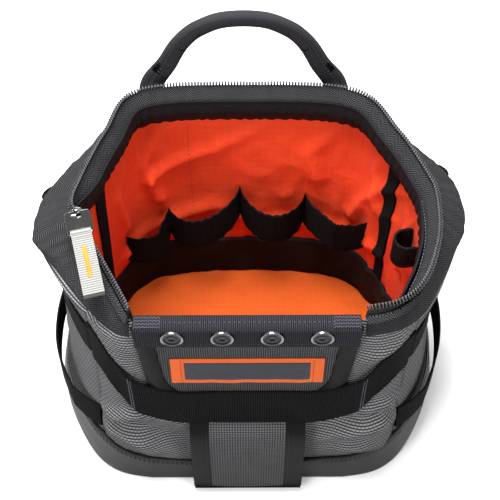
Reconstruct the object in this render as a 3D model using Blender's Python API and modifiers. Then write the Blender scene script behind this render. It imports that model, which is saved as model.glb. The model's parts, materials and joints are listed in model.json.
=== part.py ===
# Open-mouthed tool pouch: padded fabric walls on a moulded boot, a zipped rim, a belt and belt tunnel
# in front, webbing loops on both sides, a carry handle at the back and an elastic tool band inside.
# Metres, +Z up, belt side towards -Y, standing on Z = 0 with the origin under the middle of the part.
import math

import bmesh
import bpy
from mathutils import Matrix, Vector

# Driving sizes of the body
body_half_width = 0.139
body_half_depth = 0.100
mouth_height = 0.199
wall_thickness = 0.003
side_pad_depth = 0.026
seam_gap = 0.0003
sewn_gap = 0.0005

# Heights of what runs round the body
boot_floor = 0.003
boot_height = 0.040
lower_band_low = 0.050
inner_band_top = 0.050

# Heights that keep their distance from the mouth
panel_height = 0.0945
belt_tuck = 0.014
upper_band_drop = 0.059
shoulder_drop = 0.017
collar_shoulder_lift = 0.002
lining_drop = 0.023

# Webbing and cloth
belt_width = 0.038
side_band_width = 0.025
webbing = 0.0016
lining_cloth = 0.0012
band_cloth = 0.0015

# Plan outlines, station by station from the middle of the front, round one side, to the middle
# of the back: x as shares of the half width and y as shares of the half depth.
base_shares = ((0, -0.975), (0.504, -0.975), (0.755, -0.86), (0.93, -0.50), (1.0, -0.15),
               (0.986, 0.30), (0.863, 0.70), (0.54, 0.89), (0, 0.90))
mouth_right_shares = ((0, -0.90), (0.504, -0.90), (0.748, -0.78), (0.906, -0.42), (1.0, -0.04),
                      (0.98, 0.26), (0.80, 0.62), (0.55, 0.96), (0, 1.02))
mouth_left_shares = ((0, -0.90), (0.504, -0.90), (0.712, -0.70), (0.885, -0.38), (0.964, -0.13),
                     (0.928, 0.20), (0.755, 0.60), (0.55, 0.96), (0, 1.02))
# How far a mitre may stretch and how close two points count as one
mitre_limit_share = 0.5
weld_distance = 0.000001

# How deep the padding behind the outer cloth is at each station, as shares of the side pad depth
base_pad_shares = (0, 0, 0.19, 0.58, 0.65, 0.73, 0.79, 0.27, 0)
mouth_pad_right_shares = (0, 0, 0.08, 0.24, 0.58, 0.70, 0.37, 0.04, 0)
mouth_pad_left_shares = (0, 0, 0.50, 0.80, 0.80, 0.76, 0.36, 0.04, 0)
straight_run_shares = (1 / 3, 2 / 3)

# The walls draw in between the boot and the rim. How much at each station, as shares of the waist
# depth, and how much of that at each height. The heights are ones that every wall row keeps.
waist_depth = 0.013
waist_shares = (0, 0, 0.25, 0.65, 1.0, 1.0, 0.50, 0, 0)
waist_foot_share = 0.45
waist_band_share = 0.85
waist_rim_share = 0.88
# The boot's top edge at each station, as shares of its height: it dips in the middle of the front.
boot_top_shares = (0.56, 0.82, 1.08, 1.15, 1.15, 1.12, 1.05, 1.0, 1.0)

stations_per_side = 8
steps = 3
ring_count = 2 * stations_per_side * steps
front_corner = steps
side_seam = 2 * steps
back_corner = 7 * steps

parts = bpy.data.collections.new("tool_pouch")
cutters = bpy.data.collections.new("cutters")
materials = {}


# Scene and small helpers

def clear_scene():
    for thing in list(bpy.data.objects):
        bpy.data.objects.remove(thing, do_unlink=True)
    bpy.context.scene.collection.children.link(parts)
    bpy.context.scene.collection.children.link(cutters)


def material(name, colour, roughness, metallic=0.0):
    if name not in materials:
        made = bpy.data.materials.new(name)
        made.use_nodes = True
        shader = made.node_tree.nodes["Principled BSDF"]
        shader.inputs["Base Color"].default_value = (*colour, 1.0)
        shader.inputs["Roughness"].default_value = roughness
        shader.inputs["Metallic"].default_value = metallic
        materials[name] = made
    return materials[name]


grey_weave = material("grey_weave", (0.20, 0.20, 0.21), 0.85)
black_webbing = material("black_webbing", (0.012, 0.012, 0.013), 0.8)
black_herringbone = material("black_herringbone", (0.018, 0.018, 0.019), 0.9)
orange_cloth = material("orange_cloth", (0.80, 0.08, 0.01), 0.8)
boot_plastic = material("boot_plastic", (0.035, 0.035, 0.037), 0.55)
board_plastic = material("board_plastic", (0.05, 0.05, 0.05), 0.6)
spring_steel = material("spring_steel", (0.45, 0.45, 0.47), 0.35, 1.0)
zipper_nylon = material("zipper_nylon", (0.03, 0.03, 0.03), 0.35)
slider_metal = material("slider_metal", (0.02, 0.02, 0.02), 0.3, 0.8)
pale_webbing = material("pale_webbing", (0.42, 0.43, 0.42), 0.85)
gunmetal = material("gunmetal", (0.12, 0.12, 0.13), 0.3, 1.0)
label_orange = material("label_orange", (0.85, 0.13, 0.03), 0.7)
label_slate = material("label_slate", (0.04, 0.045, 0.055), 0.7)
ring_steel = material("ring_steel", (0.5, 0.5, 0.5), 0.25, 1.0)


def add_object(name, mesh, finish, matrix=None):
    made = bpy.data.objects.new(name, mesh)
    made.data.materials.clear()
    made.data.materials.append(finish)
    if matrix is not None:
        made.matrix_world = matrix
    parts.objects.link(made)
    return made


def mesh_from(points, faces, name):
    mesh = bpy.data.meshes.new(name)
    mesh.from_pydata([tuple(point) for point in points], [], faces)
    mesh.validate()
    mesh.shade_smooth()
    mesh.set_sharp_from_angle(angle=math.radians(35))
    return mesh


def flat_curve(name, outlines, thickness):
    # A closed flat shape, holes included, with its thickness centred on its own plane.
    curve = bpy.data.curves.new(name, "CURVE")
    curve.dimensions = "2D"
    curve.fill_mode = "BOTH"
    curve.extrude = thickness / 2
    for outline in outlines:
        spline = curve.splines.new("POLY")
        spline.points.add(len(outline) - 1)
        for point, place in zip(spline.points, outline):
            point.co = (place[0], place[1], 0, 1)
        spline.use_cyclic_u = True
    return curve


def arc(centre, radius, start, end, count):
    points = []
    for step in range(count + 1):
        angle = math.radians(start + (end - start) * step / count)
        points.append((centre[0] + radius * math.cos(angle), centre[1] + radius * math.sin(angle)))
    return points


def thick_line(path, thickness):
    # The closed outline of a strip of even thickness that follows a flat path.
    sides = ([], [])
    for index, place in enumerate(path):
        here = Vector(place)
        before = Vector(path[max(index - 1, 0)])
        after = Vector(path[min(index + 1, len(path) - 1)])
        arriving = (here - before).normalized() if index else (after - here).normalized()
        leaving = (after - here).normalized() if index < len(path) - 1 else arriving
        along = (arriving + leaving).normalized()
        across = Vector((-along.y, along.x)) / max(along.dot(arriving), mitre_limit_share)
        sides[0].append(tuple(here + across * thickness / 2))
        sides[1].append(tuple(here - across * thickness / 2))
    return sides[0] + sides[1][::-1]


def axes_at(origin, x_axis, y_axis):
    # A placing matrix from an origin and two directions at right angles.
    third = x_axis.cross(y_axis)
    turn = Matrix((x_axis, y_axis, third)).transposed()
    return Matrix.Translation(origin) @ turn.to_4x4()


# The two plan rings and the wall faces that are read from them

def smooth_ring(stations, straight_spans):
    ring = []
    count = len(stations)
    for span in range(count):
        before, start, end, after = (stations[(span + shift) % count] for shift in (-1, 0, 1, 2))
        for step in range(steps):
            t = step / steps
            if span in straight_spans:
                ring.append(start.lerp(end, t))
                continue
            ring.append(0.5 * (2 * start + (end - before) * t
                               + (2 * before - 5 * start + 4 * end - after) * t * t
                               + (3 * start - before - 3 * end + after) * t * t * t))
    return ring


def ring_normals(ring):
    normals = []
    for index, here in enumerate(ring):
        arriving = (here - ring[index - 1]).normalized()
        leaving = (ring[(index + 1) % len(ring)] - here).normalized()
        along = (arriving + leaving).normalized()
        normals.append(Vector((along.y, -along.x)) / along.dot(arriving))
    return normals


def outer_stations(right, left):
    shares = list(right) + [(-x, y) for x, y in left[-2:0:-1]]
    return [Vector((x * body_half_width, y * body_half_depth)) for x, y in shares]


def inner_stations(outer, right_pads, left_pads):
    pads = list(right_pads) + list(left_pads[-2:0:-1])
    normals = ring_normals(outer)
    inner = []
    for place, normal, pad in zip(outer, normals, pads):
        inner.append(place - normal.normalized() * (wall_thickness + pad * side_pad_depth))
    return inner


def straighten_left_run(stations):
    # The zipper runs straight along the left front of the mouth, where its slider travels.
    corner = stations[2 * stations_per_side - 1]
    side = stations[2 * stations_per_side - 4]
    for back, share in zip((2, 3), straight_run_shares):
        stations[2 * stations_per_side - back] = corner.lerp(side, share)


front_spans = (0, 2 * stations_per_side - 1)
left_run_spans = (12, 13, 14)
outer_base_stations = outer_stations(base_shares, base_shares)
outer_mouth_stations = outer_stations(mouth_right_shares, mouth_left_shares)
inner_base_stations = inner_stations(outer_base_stations, base_pad_shares, base_pad_shares)
inner_mouth_stations = inner_stations(outer_mouth_stations, mouth_pad_right_shares, mouth_pad_left_shares)
straighten_left_run(inner_mouth_stations)
outer_base = smooth_ring(outer_base_stations, front_spans)
outer_mouth = smooth_ring(outer_mouth_stations, front_spans)
inner_base = smooth_ring(inner_base_stations, front_spans)
inner_mouth = smooth_ring(inner_mouth_stations, front_spans + left_run_spans)
outer_rings = (outer_base, outer_mouth, ring_normals(outer_base), ring_normals(outer_mouth))
inner_rings = (inner_base, inner_mouth, ring_normals(inner_base), ring_normals(inner_mouth))


def table_share(table, where):
    # A value read from a table of places and values, straight between its rows.
    for (before, low), (after, high) in zip(table, table[1:]):
        if where <= after:
            return low + (high - low) * max(where - before, 0) / (after - before)
    return table[-1][1]


def station_share(shares, turn):
    # A value read from a table of the stations, the same on both sides.
    station = min(turn % ring_count, -turn % ring_count) / steps
    return table_share(list(enumerate(shares)), station)


def wall_point(rings, place, height, offset, draw=0):
    # A point of a wall face: place counts round the ring, offset is outwards and level.
    low = math.floor(place)
    share = place - low
    rise = min(height / mouth_height, 1)
    found = Vector((0, 0))
    for index, weight in ((low, 1 - share), (low + 1, share)):
        turn = index % ring_count
        stand = offset - draw * station_share(waist_shares, turn)
        base = rings[0][turn] + rings[2][turn] * stand
        mouth = rings[1][turn] + rings[3][turn] * stand
        found += weight * base.lerp(mouth, rise)
    return Vector((found.x, found.y, height))


def outer(place, height, offset):
    return wall_point(outer_rings, place, height, offset, waist_depth * table_share(waist_table, height))


def inner(place, height, offset):
    return wall_point(inner_rings, place, height, offset)


panel_top = mouth_height - sewn_gap
panel_bottom = panel_top - panel_height
belt_low = panel_bottom - belt_tuck
belt_high = belt_low + belt_width
upper_band_low = mouth_height - upper_band_drop
shoulder_height = mouth_height - shoulder_drop
lining_top = mouth_height - lining_drop
lower_band_high = lower_band_low + side_band_width
upper_band_high = upper_band_low + side_band_width
wall_foot = boot_floor + seam_gap
shared_heights = sorted((wall_foot, boot_height / 2, lower_band_low, lower_band_high, belt_low,
                         belt_high, upper_band_low, upper_band_high))


waist_table = ((boot_height / 2, 0), (lower_band_low, waist_foot_share), (lower_band_high, waist_band_share),
               (belt_low, 1), (upper_band_low, 1), (upper_band_high, waist_rim_share),
               (shoulder_height + collar_shoulder_lift, 0))


def columns_between(first, last, trim):
    # Ring columns of a strip whose two ends stop short of the places given.
    span = outer(first, 0, 0) - outer(first + 1, 0, 0)
    cut = trim / span.length
    inside = [place for place in range(math.ceil(first), math.floor(last) + 1)
              if first + cut < place < last - cut]
    return [first + cut] + inside + [last - cut]


def heights_between(low, high):
    return [low] + [height for height in shared_heights if low < height < high] + [high]


def strip_solid(name, columns, rows, out_face, in_face, finish, closed=False):
    # A cloth wall between an outer and an inner face, lofted over columns and rows.
    points = []
    for column in columns:
        points.extend(out_face(column, row) for row in rows)
        points.extend(in_face(column, row) for row in rows)
    tall = len(rows)
    wide = len(columns)
    faces = []

    def corner(column, row, inside):
        return (column % wide) * 2 * tall + inside * tall + row

    for column in range(wide if closed else wide - 1):
        after = column + 1
        for row in range(tall - 1):
            faces.append((corner(column, row, 0), corner(after, row, 0),
                          corner(after, row + 1, 0), corner(column, row + 1, 0)))
            faces.append((corner(column, row, 1), corner(column, row + 1, 1),
                          corner(after, row + 1, 1), corner(after, row, 1)))
        top = tall - 1
        faces.append((corner(column, top, 0), corner(after, top, 0),
                      corner(after, top, 1), corner(column, top, 1)))
        faces.append((corner(column, 0, 0), corner(column, 0, 1), corner(after, 0, 1), corner(after, 0, 0)))
    if not closed:
        last = wide - 1
        for row in range(tall - 1):
            faces.append((corner(0, row, 0), corner(0, row + 1, 0), corner(0, row + 1, 1), corner(0, row, 1)))
            faces.append((corner(last, row, 0), corner(last, row, 1),
                          corner(last, row + 1, 1), corner(last, row + 1, 0)))
    return add_object(name, mesh_from(points, faces, name), finish)


def band_on(face, out_offset, in_offset):
    return (lambda place, height: face(place, height, out_offset),
            lambda place, height: face(place, height, in_offset))


whole_ring = list(range(ring_count))


# Boot, floor and walls

boot_wall = 0.0025
boot_fit = 0.0010
boot_chamfer = 0.003
board_thickness = 0.003
board_margin = 0.0009


def boot_top(place):
    return boot_height * station_share(boot_top_shares, place)


def build_boot():
    outside = boot_fit + boot_wall
    profile = ((lambda place: 0, outside - boot_chamfer), (lambda place: boot_chamfer, outside),
               (lambda place: boot_height / 2, outside), (boot_top, outside),
               (boot_top, boot_fit), (lambda place: boot_height / 2, boot_fit),
               (lambda place: boot_floor, boot_fit))
    points = []
    for place in whole_ring:
        points.extend(outer(place, height(place), offset) for height, offset in profile)
    tall = len(profile)
    faces = []
    for place in whole_ring:
        here = place * tall
        after = (place + 1) % ring_count * tall
        for row in range(tall - 1):
            faces.append((here + row, after + row, after + row + 1, here + row + 1))
    faces.append(tuple(place * tall for place in reversed(whole_ring)))
    faces.append(tuple(place * tall + tall - 1 for place in whole_ring))
    add_object("base_boot", mesh_from(points, faces, "base_boot"), boot_plastic)


def floor_sheet(name, low, thickness, finish):
    middle = low + thickness / 2
    outline = [inner(place, middle, -board_margin).xy for place in whole_ring]
    sheet = flat_curve(name, [outline], thickness)
    add_object(name, sheet, finish, Matrix.Translation((0, 0, middle)))


board_low = boot_floor + seam_gap
floor_cloth_low = board_low + board_thickness + seam_gap
lining_foot = floor_cloth_low + lining_cloth + seam_gap


def build_wall(name, first, last):
    # The outer cloth stops at the shoulder and the inner one at the mouth, so the top edge slopes.
    rows = [(height, height) for height in heights_between(wall_foot, upper_band_high)]
    rows.append((shoulder_height, mouth_height))
    strip_solid(name, columns_between(first, last, seam_gap / 2), rows,
                lambda place, row: outer(place, row[0], 0),
                lambda place, row: inner(place, row[1], 0), grey_weave)


# Lining and what lies on it, by their depths inside the wall
lining_out = 0.0006
lining_in = lining_out + lining_cloth
facing_out = lining_in + seam_gap
facing_in = facing_out + band_cloth


def build_lining():
    strip_solid("lining_wall", whole_ring, heights_between(lining_foot, lining_top),
                *band_on(inner, -lining_out, -lining_in), orange_cloth, closed=True)
    strip_solid("lower_inner_band", whole_ring, heights_between(lining_foot, inner_band_top),
                *band_on(inner, -facing_out, -facing_in), black_webbing, closed=True)


# Mouth: stays, zipper, collar and facing
stay_gap = 0.002
stay_width = 0.013
stay_fit = 0.0005
stay_thickness = 0.0008
tape_fit = 0.0004
tape_thickness = 0.001
tape_bottom_drop = 0.002
tape_width = 0.0116
tape_lean = 0.0075
# Where the tape begins to lean inwards, leans in full, and stands upright again for the slider's run
tape_lean_stations = (1.2, 2.2, 10.8, 11.7)
chain_width = 0.0032
chain_height = 0.0031
facing_low = upper_band_high + seam_gap
collar_low = upper_band_high + seam_gap
collar_cloth = 0.0017
collar_draw = 0.0150
collar_stand = 0.0006
# How far the collar's lower edge is drawn up at each station from the front to the back
collar_draw_shares = (1, 1, 1, 0.55, 0.1, 0, 0, 0, 0)
collar_rise = 0.005
facing_rise = 0.004
facing_bend_drop = 0.005

tape_low = mouth_height - tape_bottom_drop
tape_high = tape_low + tape_width
chain_low = tape_high + seam_gap
chain_middle = -(tape_fit + tape_thickness / 2)
mouth_first = front_corner
mouth_last = ring_count - front_corner


def build_stays():
    low = lining_top + stay_gap
    rows = [low, low + stay_width]
    face = band_on(inner, -stay_fit, -stay_fit - stay_thickness)
    hinge = 4 * steps
    strip_solid("mouth_stay_rear", columns_between(hinge, ring_count - hinge, sewn_gap),
                rows, *face, spring_steel)
    strip_solid("mouth_stay_front", columns_between(-hinge, hinge, sewn_gap), rows, *face, spring_steel)


def lean_at(place):
    start, full, end, upright = (station * steps for station in tape_lean_stations)
    share = min((place - start) / (full - start), (upright - place) / (upright - end))
    return tape_lean * min(max(share, 0), 1)


def build_zipper():
    # Each row of the tape is its height, and how much of the lean it has.
    columns = columns_between(mouth_first, mouth_last, sewn_gap)
    strip_solid("zipper_tape", columns, [(tape_low, 1), (tape_high, 0)],
                lambda place, row: inner(place, row[0], -tape_fit - row[1] * lean_at(place)),
                lambda place, row: inner(place, row[0], -tape_fit - tape_thickness - row[1] * lean_at(place)),
                black_herringbone)
    half = chain_width / 2
    strip_solid("zipper_chain", columns, [chain_low, chain_low + chain_height],
                *band_on(inner, chain_middle + half, chain_middle - half), zipper_nylon)


def build_collar():
    rows = ((outer, collar_low, seam_gap, 1),
            (outer, shoulder_height + collar_shoulder_lift, seam_gap, 0),
            (inner, mouth_height + collar_shoulder_lift, sewn_gap, 0),
            (inner, mouth_height + collar_rise, sewn_gap, 0))

    def face(place, row, cloth):
        surface, height, gap, drawn = row
        drawn = drawn * station_share(collar_draw_shares, place)
        return surface(place, height + collar_draw * drawn, gap + collar_stand * drawn + cloth)

    strip_solid("rim_collar", columns_between(mouth_first, mouth_last, sewn_gap), rows,
                lambda place, row: face(place, row, collar_cloth),
                lambda place, row: face(place, row, 0), black_herringbone)
    # The facing leaves the lining at its top edge and leans inwards to meet the tape.
    facing = ((facing_low, 0), (lining_top, 0), (mouth_height - facing_bend_drop, 1),
              (mouth_height + facing_rise, 1))
    strip_solid("rim_facing", columns_between(mouth_first, mouth_last, sewn_gap), facing,
                lambda place, row: inner(place, row[0], -facing_out - row[1] * lean_at(place)),
                lambda place, row: inner(place, row[0], -facing_in - row[1] * lean_at(place)),
                black_herringbone)


# Front panel, label and rivets, which lie flat on the plane of the front wall
panel_half_width = 0.0685
panel_low_half_width = 0.064
panel_corner = 0.045
panel_cloth = 0.002
binding_width = 0.011
binding_proud = 0.0006
cap_half_width = 0.067
cap_front_drop = 0.0165
cap_cloth = 0.0018
rivet_count = 4
rivet_pitch = 0.0295
rivet_drop = 0.0065
rivet_radius = 0.007
rivet_thickness = 0.0015
rivet_facets = 16
# Half the section of a rivet head, as shares of its radius and thickness
rivet_section_shares = ((0, 0.60), (0.45, 0.45), (0.64, 1.0), (0.89, 1.0), (1.0, 0.5), (1.0, 0), (0, 0))
label_width = 0.095
label_height = 0.027
label_drop = 0.0455
label_end = 0.012
label_edge = 0.004
label_cloth = 0.0006
corner_steps = 6

cap_front_low = mouth_height - cap_front_drop
label_middle = panel_top - label_drop
front_foot = outer(0, 0, 0)
front_head = outer(0, mouth_height, 0)
front_up = (front_head - front_foot).normalized()
front_across = Vector((1, 0, 0))
front_out = front_across.cross(front_up)


def front_sheet(name, outlines, low, thickness, finish):
    # A flat piece at a level above the front wall, drawn across and up its plane.
    origin = front_foot + front_out * (low + thickness / 2)
    matrix = axes_at(origin, front_across, front_up)
    return add_object(name, flat_curve(name, outlines, thickness), finish, matrix)


def panel_side(inset):
    # The right half of the panel's outline, from its top corner down to its bottom middle.
    radius = panel_corner - inset
    centre = (panel_low_half_width - panel_corner, panel_bottom + panel_corner)
    return [(panel_half_width - inset, panel_top)] + arc(centre, radius, 0, -90, corner_steps)


def both_sides(right):
    return right + [(-x, y) for x, y in reversed(right)]


def front_y(height, offset):
    return outer(0, height, 0).y - offset


def inner_front_y(height, depth):
    return inner(0, height, 0).y + depth


def across_bar(name, profile, first, last, finish):
    # A bar across the front whose section is drawn in depth and height.
    middle = (first + last) / 2
    matrix = axes_at(Vector((middle, 0, 0)), Vector((0, 1, 0)), Vector((0, 0, 1)))
    return add_object(name, flat_curve(name, [profile], last - first), finish, matrix)


def build_front_panel():
    core = both_sides(panel_side(binding_width + seam_gap))
    front_sheet("panel_core", [core], seam_gap, panel_cloth, grey_weave)
    binding = both_sides(panel_side(0)) + both_sides(panel_side(binding_width))[::-1]
    front_sheet("panel_binding", [binding], seam_gap, panel_cloth + binding_proud, black_webbing)
    near = seam_gap + panel_cloth + binding_proud + seam_gap
    far = near + cap_cloth
    under = mouth_height + seam_gap
    over = under + cap_cloth
    cap = [(front_y(cap_front_low, far), cap_front_low), (front_y(over, far), over),
           (inner_front_y(over, facing_in), over), (inner_front_y(facing_low, facing_in), facing_low),
           (inner_front_y(facing_low, facing_out), facing_low), (inner_front_y(under, facing_out), under),
           (front_y(under, near), under), (front_y(cap_front_low, near), cap_front_low)]
    across_bar("panel_top_webbing", cap, -cap_half_width, cap_half_width, black_webbing)
    return far


def build_rivets(level):
    profile = [(out * rivet_radius, 0, up * rivet_thickness) for out, up in rivet_section_shares]
    mesh = bpy.data.meshes.new("panel_rivets")
    mesh.from_pydata(profile, [(i, i + 1) for i in range(len(profile) - 1)], [])
    first = -rivet_pitch * (rivet_count - 1) / 2
    start = front_foot + front_up * (mouth_height - rivet_drop) + front_out * (level + seam_gap)
    for index in range(rivet_count):
        origin = start + front_across * (first + index * rivet_pitch)
        rivet = add_object("panel_rivet_" + str(index + 1), mesh, gunmetal,
                           axes_at(origin, front_across, front_up))
        turned = rivet.modifiers.new("turned", "SCREW")
        turned.steps = rivet_facets
        turned.render_steps = rivet_facets
        turned.use_merge_vertices = True
        turned.merge_threshold = weld_distance


def rectangle(half_width, half_height, middle):
    return [(-half_width, middle - half_height), (half_width, middle - half_height),
            (half_width, middle + half_height), (-half_width, middle + half_height)]


def build_label():
    level = seam_gap + panel_cloth + seam_gap
    whole = rectangle(label_width / 2, label_height / 2, label_middle)
    window = rectangle(label_width / 2 - label_end, label_height / 2 - label_edge, label_middle)
    field = rectangle(label_width / 2 - label_end - seam_gap,
                      label_height / 2 - label_edge - seam_gap, label_middle)
    front_sheet("label_frame", [whole, window], level, label_cloth, label_orange)
    front_sheet("label_field", [field], level, label_cloth, label_slate)


# Belt and belt tunnel
belt_thickness = 0.002
belt_step_share = 1.5
belt_rise = 0.0465
# The rise of the belt at each ring column from the middle to the side seam
belt_rise_shares = (0, 0, 0, 0.25, 0.62, 0.90, 1)
belt_row_shares = (0, 0.25, 0.5, 0.75, 1)
tunnel_half_width = 0.039
tunnel_binding_width = 0.013
tunnel_cloth = 0.002
tunnel_binding_cloth = 0.0026
tunnel_room = 0.0083
tunnel_hem_height = 0.0035
tunnel_bend_shares = ((0.0, 0.86), (0.80, 0.76), (1.0, 0.49), (0.97, 0.14), (0.88, 0.06))


def build_belt(level):
    def lift(place):
        # Over the front panel the belt lies on its binding, and beside it on the wall.
        past = max(abs(place) - front_corner, 0) / steps
        return seam_gap + (level - seam_gap) * max(1 - belt_step_share * past, 0)

    def face(place, share, offset):
        # Past the front panel the belt is drawn up towards the side seams.
        low = belt_low + belt_rise * table_share(tuple(enumerate(belt_rise_shares)), abs(place))
        return outer(place, low + belt_width * share, lift(place) + offset)

    strip_solid("front_belt", columns_between(-side_seam, side_seam, sewn_gap), belt_row_shares,
                lambda place, share: face(place, share, belt_thickness),
                lambda place, share: face(place, share, 0), black_webbing)


def build_tunnel():
    # The panel hangs from under the belt, stands off the boot and is sewn to it at the bottom.
    top = panel_bottom - sewn_gap
    close = seam_gap + tunnel_binding_cloth / 2
    reach = boot_fit + boot_wall + tunnel_room - close
    route = [(close, top)]
    for out_share, height_share in tunnel_bend_shares:
        route.append((close + reach * out_share, top * height_share))
    sewn = boot_fit + boot_wall + seam_gap + tunnel_binding_cloth / 2
    route.append((sewn, tunnel_hem_height))
    path = [(front_y(height, offset), height) for offset, height in route]
    inner_half = tunnel_half_width - tunnel_binding_width
    across_bar("tunnel_panel", thick_line(path, tunnel_cloth),
               -inner_half + seam_gap, inner_half - seam_gap, grey_weave)
    edge = thick_line(path, tunnel_binding_cloth)
    across_bar("tunnel_binding_left", edge, -tunnel_half_width, -inner_half, black_webbing)
    across_bar("tunnel_binding_right", edge, inner_half, tunnel_half_width, black_webbing)


# Side bands and corner tabs
loop_room = 0.0074
loop_swell_share = 2.2
tab_reach = 0.013
tab_half_width = 0.006
tab_height = 0.015
tab_stand = 0.0012
tab_left_station = 5.17
tab_right_station = 5.5


def build_side_bands():
    for side, turn in (("right", 1), ("left", -1)):
        def placed(first, last):
            return (first, last) if turn > 0 else (ring_count - last, ring_count - first)

        first, last = placed(side_seam, back_corner)
        strip_solid(side + "_upper_band", columns_between(first, last, sewn_gap),
                    [upper_band_low, upper_band_high],
                    *band_on(outer, seam_gap + webbing, seam_gap), black_webbing)
        first, last = placed(side_seam, 6 * steps)

        def loop_face(place, height, level, first=first, last=last):
            # Sewn down at both ends, and standing upright off the drawn-in wall between them.
            stand = min(1, loop_swell_share * math.sin(math.pi * (place - first) / (last - first)))
            at_wall = table_share(waist_table, height)
            draw = at_wall + (table_share(waist_table, lower_band_low) - at_wall) * stand
            return wall_point(outer_rings, place, height, level + loop_room * stand, waist_depth * draw)

        strip_solid(side + "_lower_band", columns_between(first, last, sewn_gap),
                    [lower_band_low, lower_band_high],
                    lambda place, height: loop_face(place, height, seam_gap + webbing),
                    lambda place, height: loop_face(place, height, seam_gap), black_webbing)


def wall_axes(face, place, height, offset):
    # A frame on a wall face: x along the wall, y outwards, z up.
    origin = face(place, height, offset)
    along = (face(math.floor(place) + 1, height, offset) - face(math.floor(place), height, offset)).normalized()
    outwards = Vector((along.y, -along.x, 0))
    return axes_at(origin, along, outwards), origin, along, outwards


def build_corner_tabs():
    # Each tab stands on the slope of the collar, with its fold pointing away from it.
    level = seam_gap + collar_cloth + tab_stand
    low = collar_low + sewn_gap
    for side, place in (("left", ring_count - tab_left_station * steps), ("right", tab_right_station * steps)):
        _, origin, along, _ = wall_axes(outer, place, low, level)
        rise = outer(place, low + tab_height, level) - origin
        up = (rise - along * rise.dot(along)).normalized()
        matrix = axes_at(origin, along, along.cross(up))
        turn = arc((0, tab_reach - tab_half_width), tab_half_width, 180, 0, corner_steps)
        path = [(-tab_half_width, 0)] + turn + [(tab_half_width, 0)]
        tab = flat_curve(side + "_corner_tab", [thick_line(path, webbing)], tab_height)
        # The frame's third axis points down, so the tab is lowered by minus half its height.
        lift = Matrix.Translation(up * tab_height / 2)
        add_object(side + "_corner_tab", tab, black_webbing, lift @ matrix)


# Carry handle: two sewn ends and the loop that folds on them
handle_radius = 0.066
handle_rise = 0.0707
handle_shift = -0.002
handle_pivot_drop = 0.0145
handle_leg_width = 0.017
handle_leg_thickness = 0.005
handle_top_width = 0.011
handle_top_thickness = 0.009
handle_lean = 0.0068
handle_lean_height = 0.016
# The middle line from a leg to the top: x as shares of the radius and height as shares of the rise
handle_line_shares = ((1, 0.11), (0.955, 0.226), (0.81, 0.43), (0.685, 0.65), (0.553, 0.806),
                      (0.417, 0.90), (0.232, 0.977))
handle_end_height = 0.030
handle_end_thickness = 0.0025
handle_pivot_height = mouth_height - handle_pivot_drop


def build_handle():
    level = seam_gap + collar_cloth + seam_gap
    top = handle_pivot_height + sewn_gap
    rows = heights_between(top - handle_end_height, top)
    half = handle_leg_width / 2
    reach = (outer(back_corner, top, 0) - outer(back_corner + 1, top, 0)).length
    corner_x = outer(back_corner, top, 0).x
    middle = back_corner + (corner_x - handle_radius + abs(handle_shift)) / reach
    right = back_corner + (corner_x - handle_radius - handle_shift) / reach
    left = ring_count - back_corner - (corner_x - handle_radius + handle_shift) / reach
    for side, centre in (("right", right), ("left", left)):
        columns = [centre - half / reach, centre + half / reach]
        strip_solid("handle_end_" + side, columns, rows,
                    *band_on(outer, level + handle_end_thickness, level), black_webbing)
    # The handle's legs lie on the outside of the sewn ends, so that they can fold right back.
    face_y = max(outer(middle + turn * half / reach, top, level + handle_end_thickness).y for turn in (-1, 1))
    pivot = Vector((handle_shift, face_y + seam_gap + handle_end_thickness / 2, handle_pivot_height))
    path = [Vector((handle_radius, 0, 0))]
    for across_share, rise_share in handle_line_shares:
        rise = handle_rise * rise_share
        path.append(Vector((handle_radius * across_share,
                            handle_lean * min(rise / handle_lean_height, 1), rise)))
    path.append(Vector((0, handle_lean, handle_rise)))
    path += [Vector((-place.x, place.y, place.z)) for place in path[-2::-1]]
    add_object("carry_handle", handle_mesh(path), black_webbing, Matrix.Translation(pivot))
    return pivot


def handle_mesh(path):
    # A folded strap: flat and wide where it is sewn, round and narrow where the hand goes.
    sides = 8
    points = []
    for index, place in enumerate(path):
        before = path[max(index - 1, 0)]
        after = path[min(index + 1, len(path) - 1)]
        along = (after - before).normalized()
        deep = Vector((0, 1, 0))
        wide = along.cross(deep).normalized()
        deep = wide.cross(along)
        share = min(abs(place.x) / handle_radius, 1) ** 2
        width = handle_top_width + (handle_leg_width - handle_top_width) * share
        thick = handle_top_thickness + (handle_leg_thickness - handle_top_thickness) * share
        if index in (0, len(path) - 1):
            thick = handle_end_thickness
        for side in range(sides):
            angle = 2 * math.pi * (side + 0.5) / sides
            stretch = 1 / math.cos(math.pi / sides)
            points.append(place + wide * (width / 2 * stretch * math.cos(angle))
                          + deep * (thick / 2 * stretch * math.sin(angle)))
    faces = []
    for index in range(len(path) - 1):
        for side in range(sides):
            after = (side + 1) % sides
            faces.append((index * sides + side, (index + 1) * sides + side,
                          (index + 1) * sides + after, index * sides + after))
    faces.append(tuple(range(sides)))
    faces.append(tuple((len(path) - 1) * sides + side for side in reversed(range(sides))))
    return mesh_from(points, faces, "carry_handle")


# Inside: tool band, straps, tether loop and ring
tool_band_height = 0.030
tool_band_sewn_stations = (6.35, 7.43, 8.07, 8.8, 9.77)
tool_band_tops = (0.098, 0.104, 0.112, 0.092, 0.086)
tool_loop_depths = (0.024, 0.028, 0.026, 0.022)
tool_loop_steps = 6
tool_loop_bow_share = 0.7
strap_low = inner_band_top + sewn_gap
strap_high = facing_low - seam_gap
tether_station = 4.5
tether_depth = 0.016
tether_half_width = 0.008
tether_height = 0.022
tether_drop = 0.067
tether_stand = 0.0008
ring_tab_station = 2.5
ring_tab_half_width = 0.008
ring_tab_drop = 0.0345
ring_bar_drop = 0.0172
ring_half_width = 0.0105
ring_wire = 0.0024
fold_radius = 0.0026
ring_pinch_share = 2.3


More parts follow.
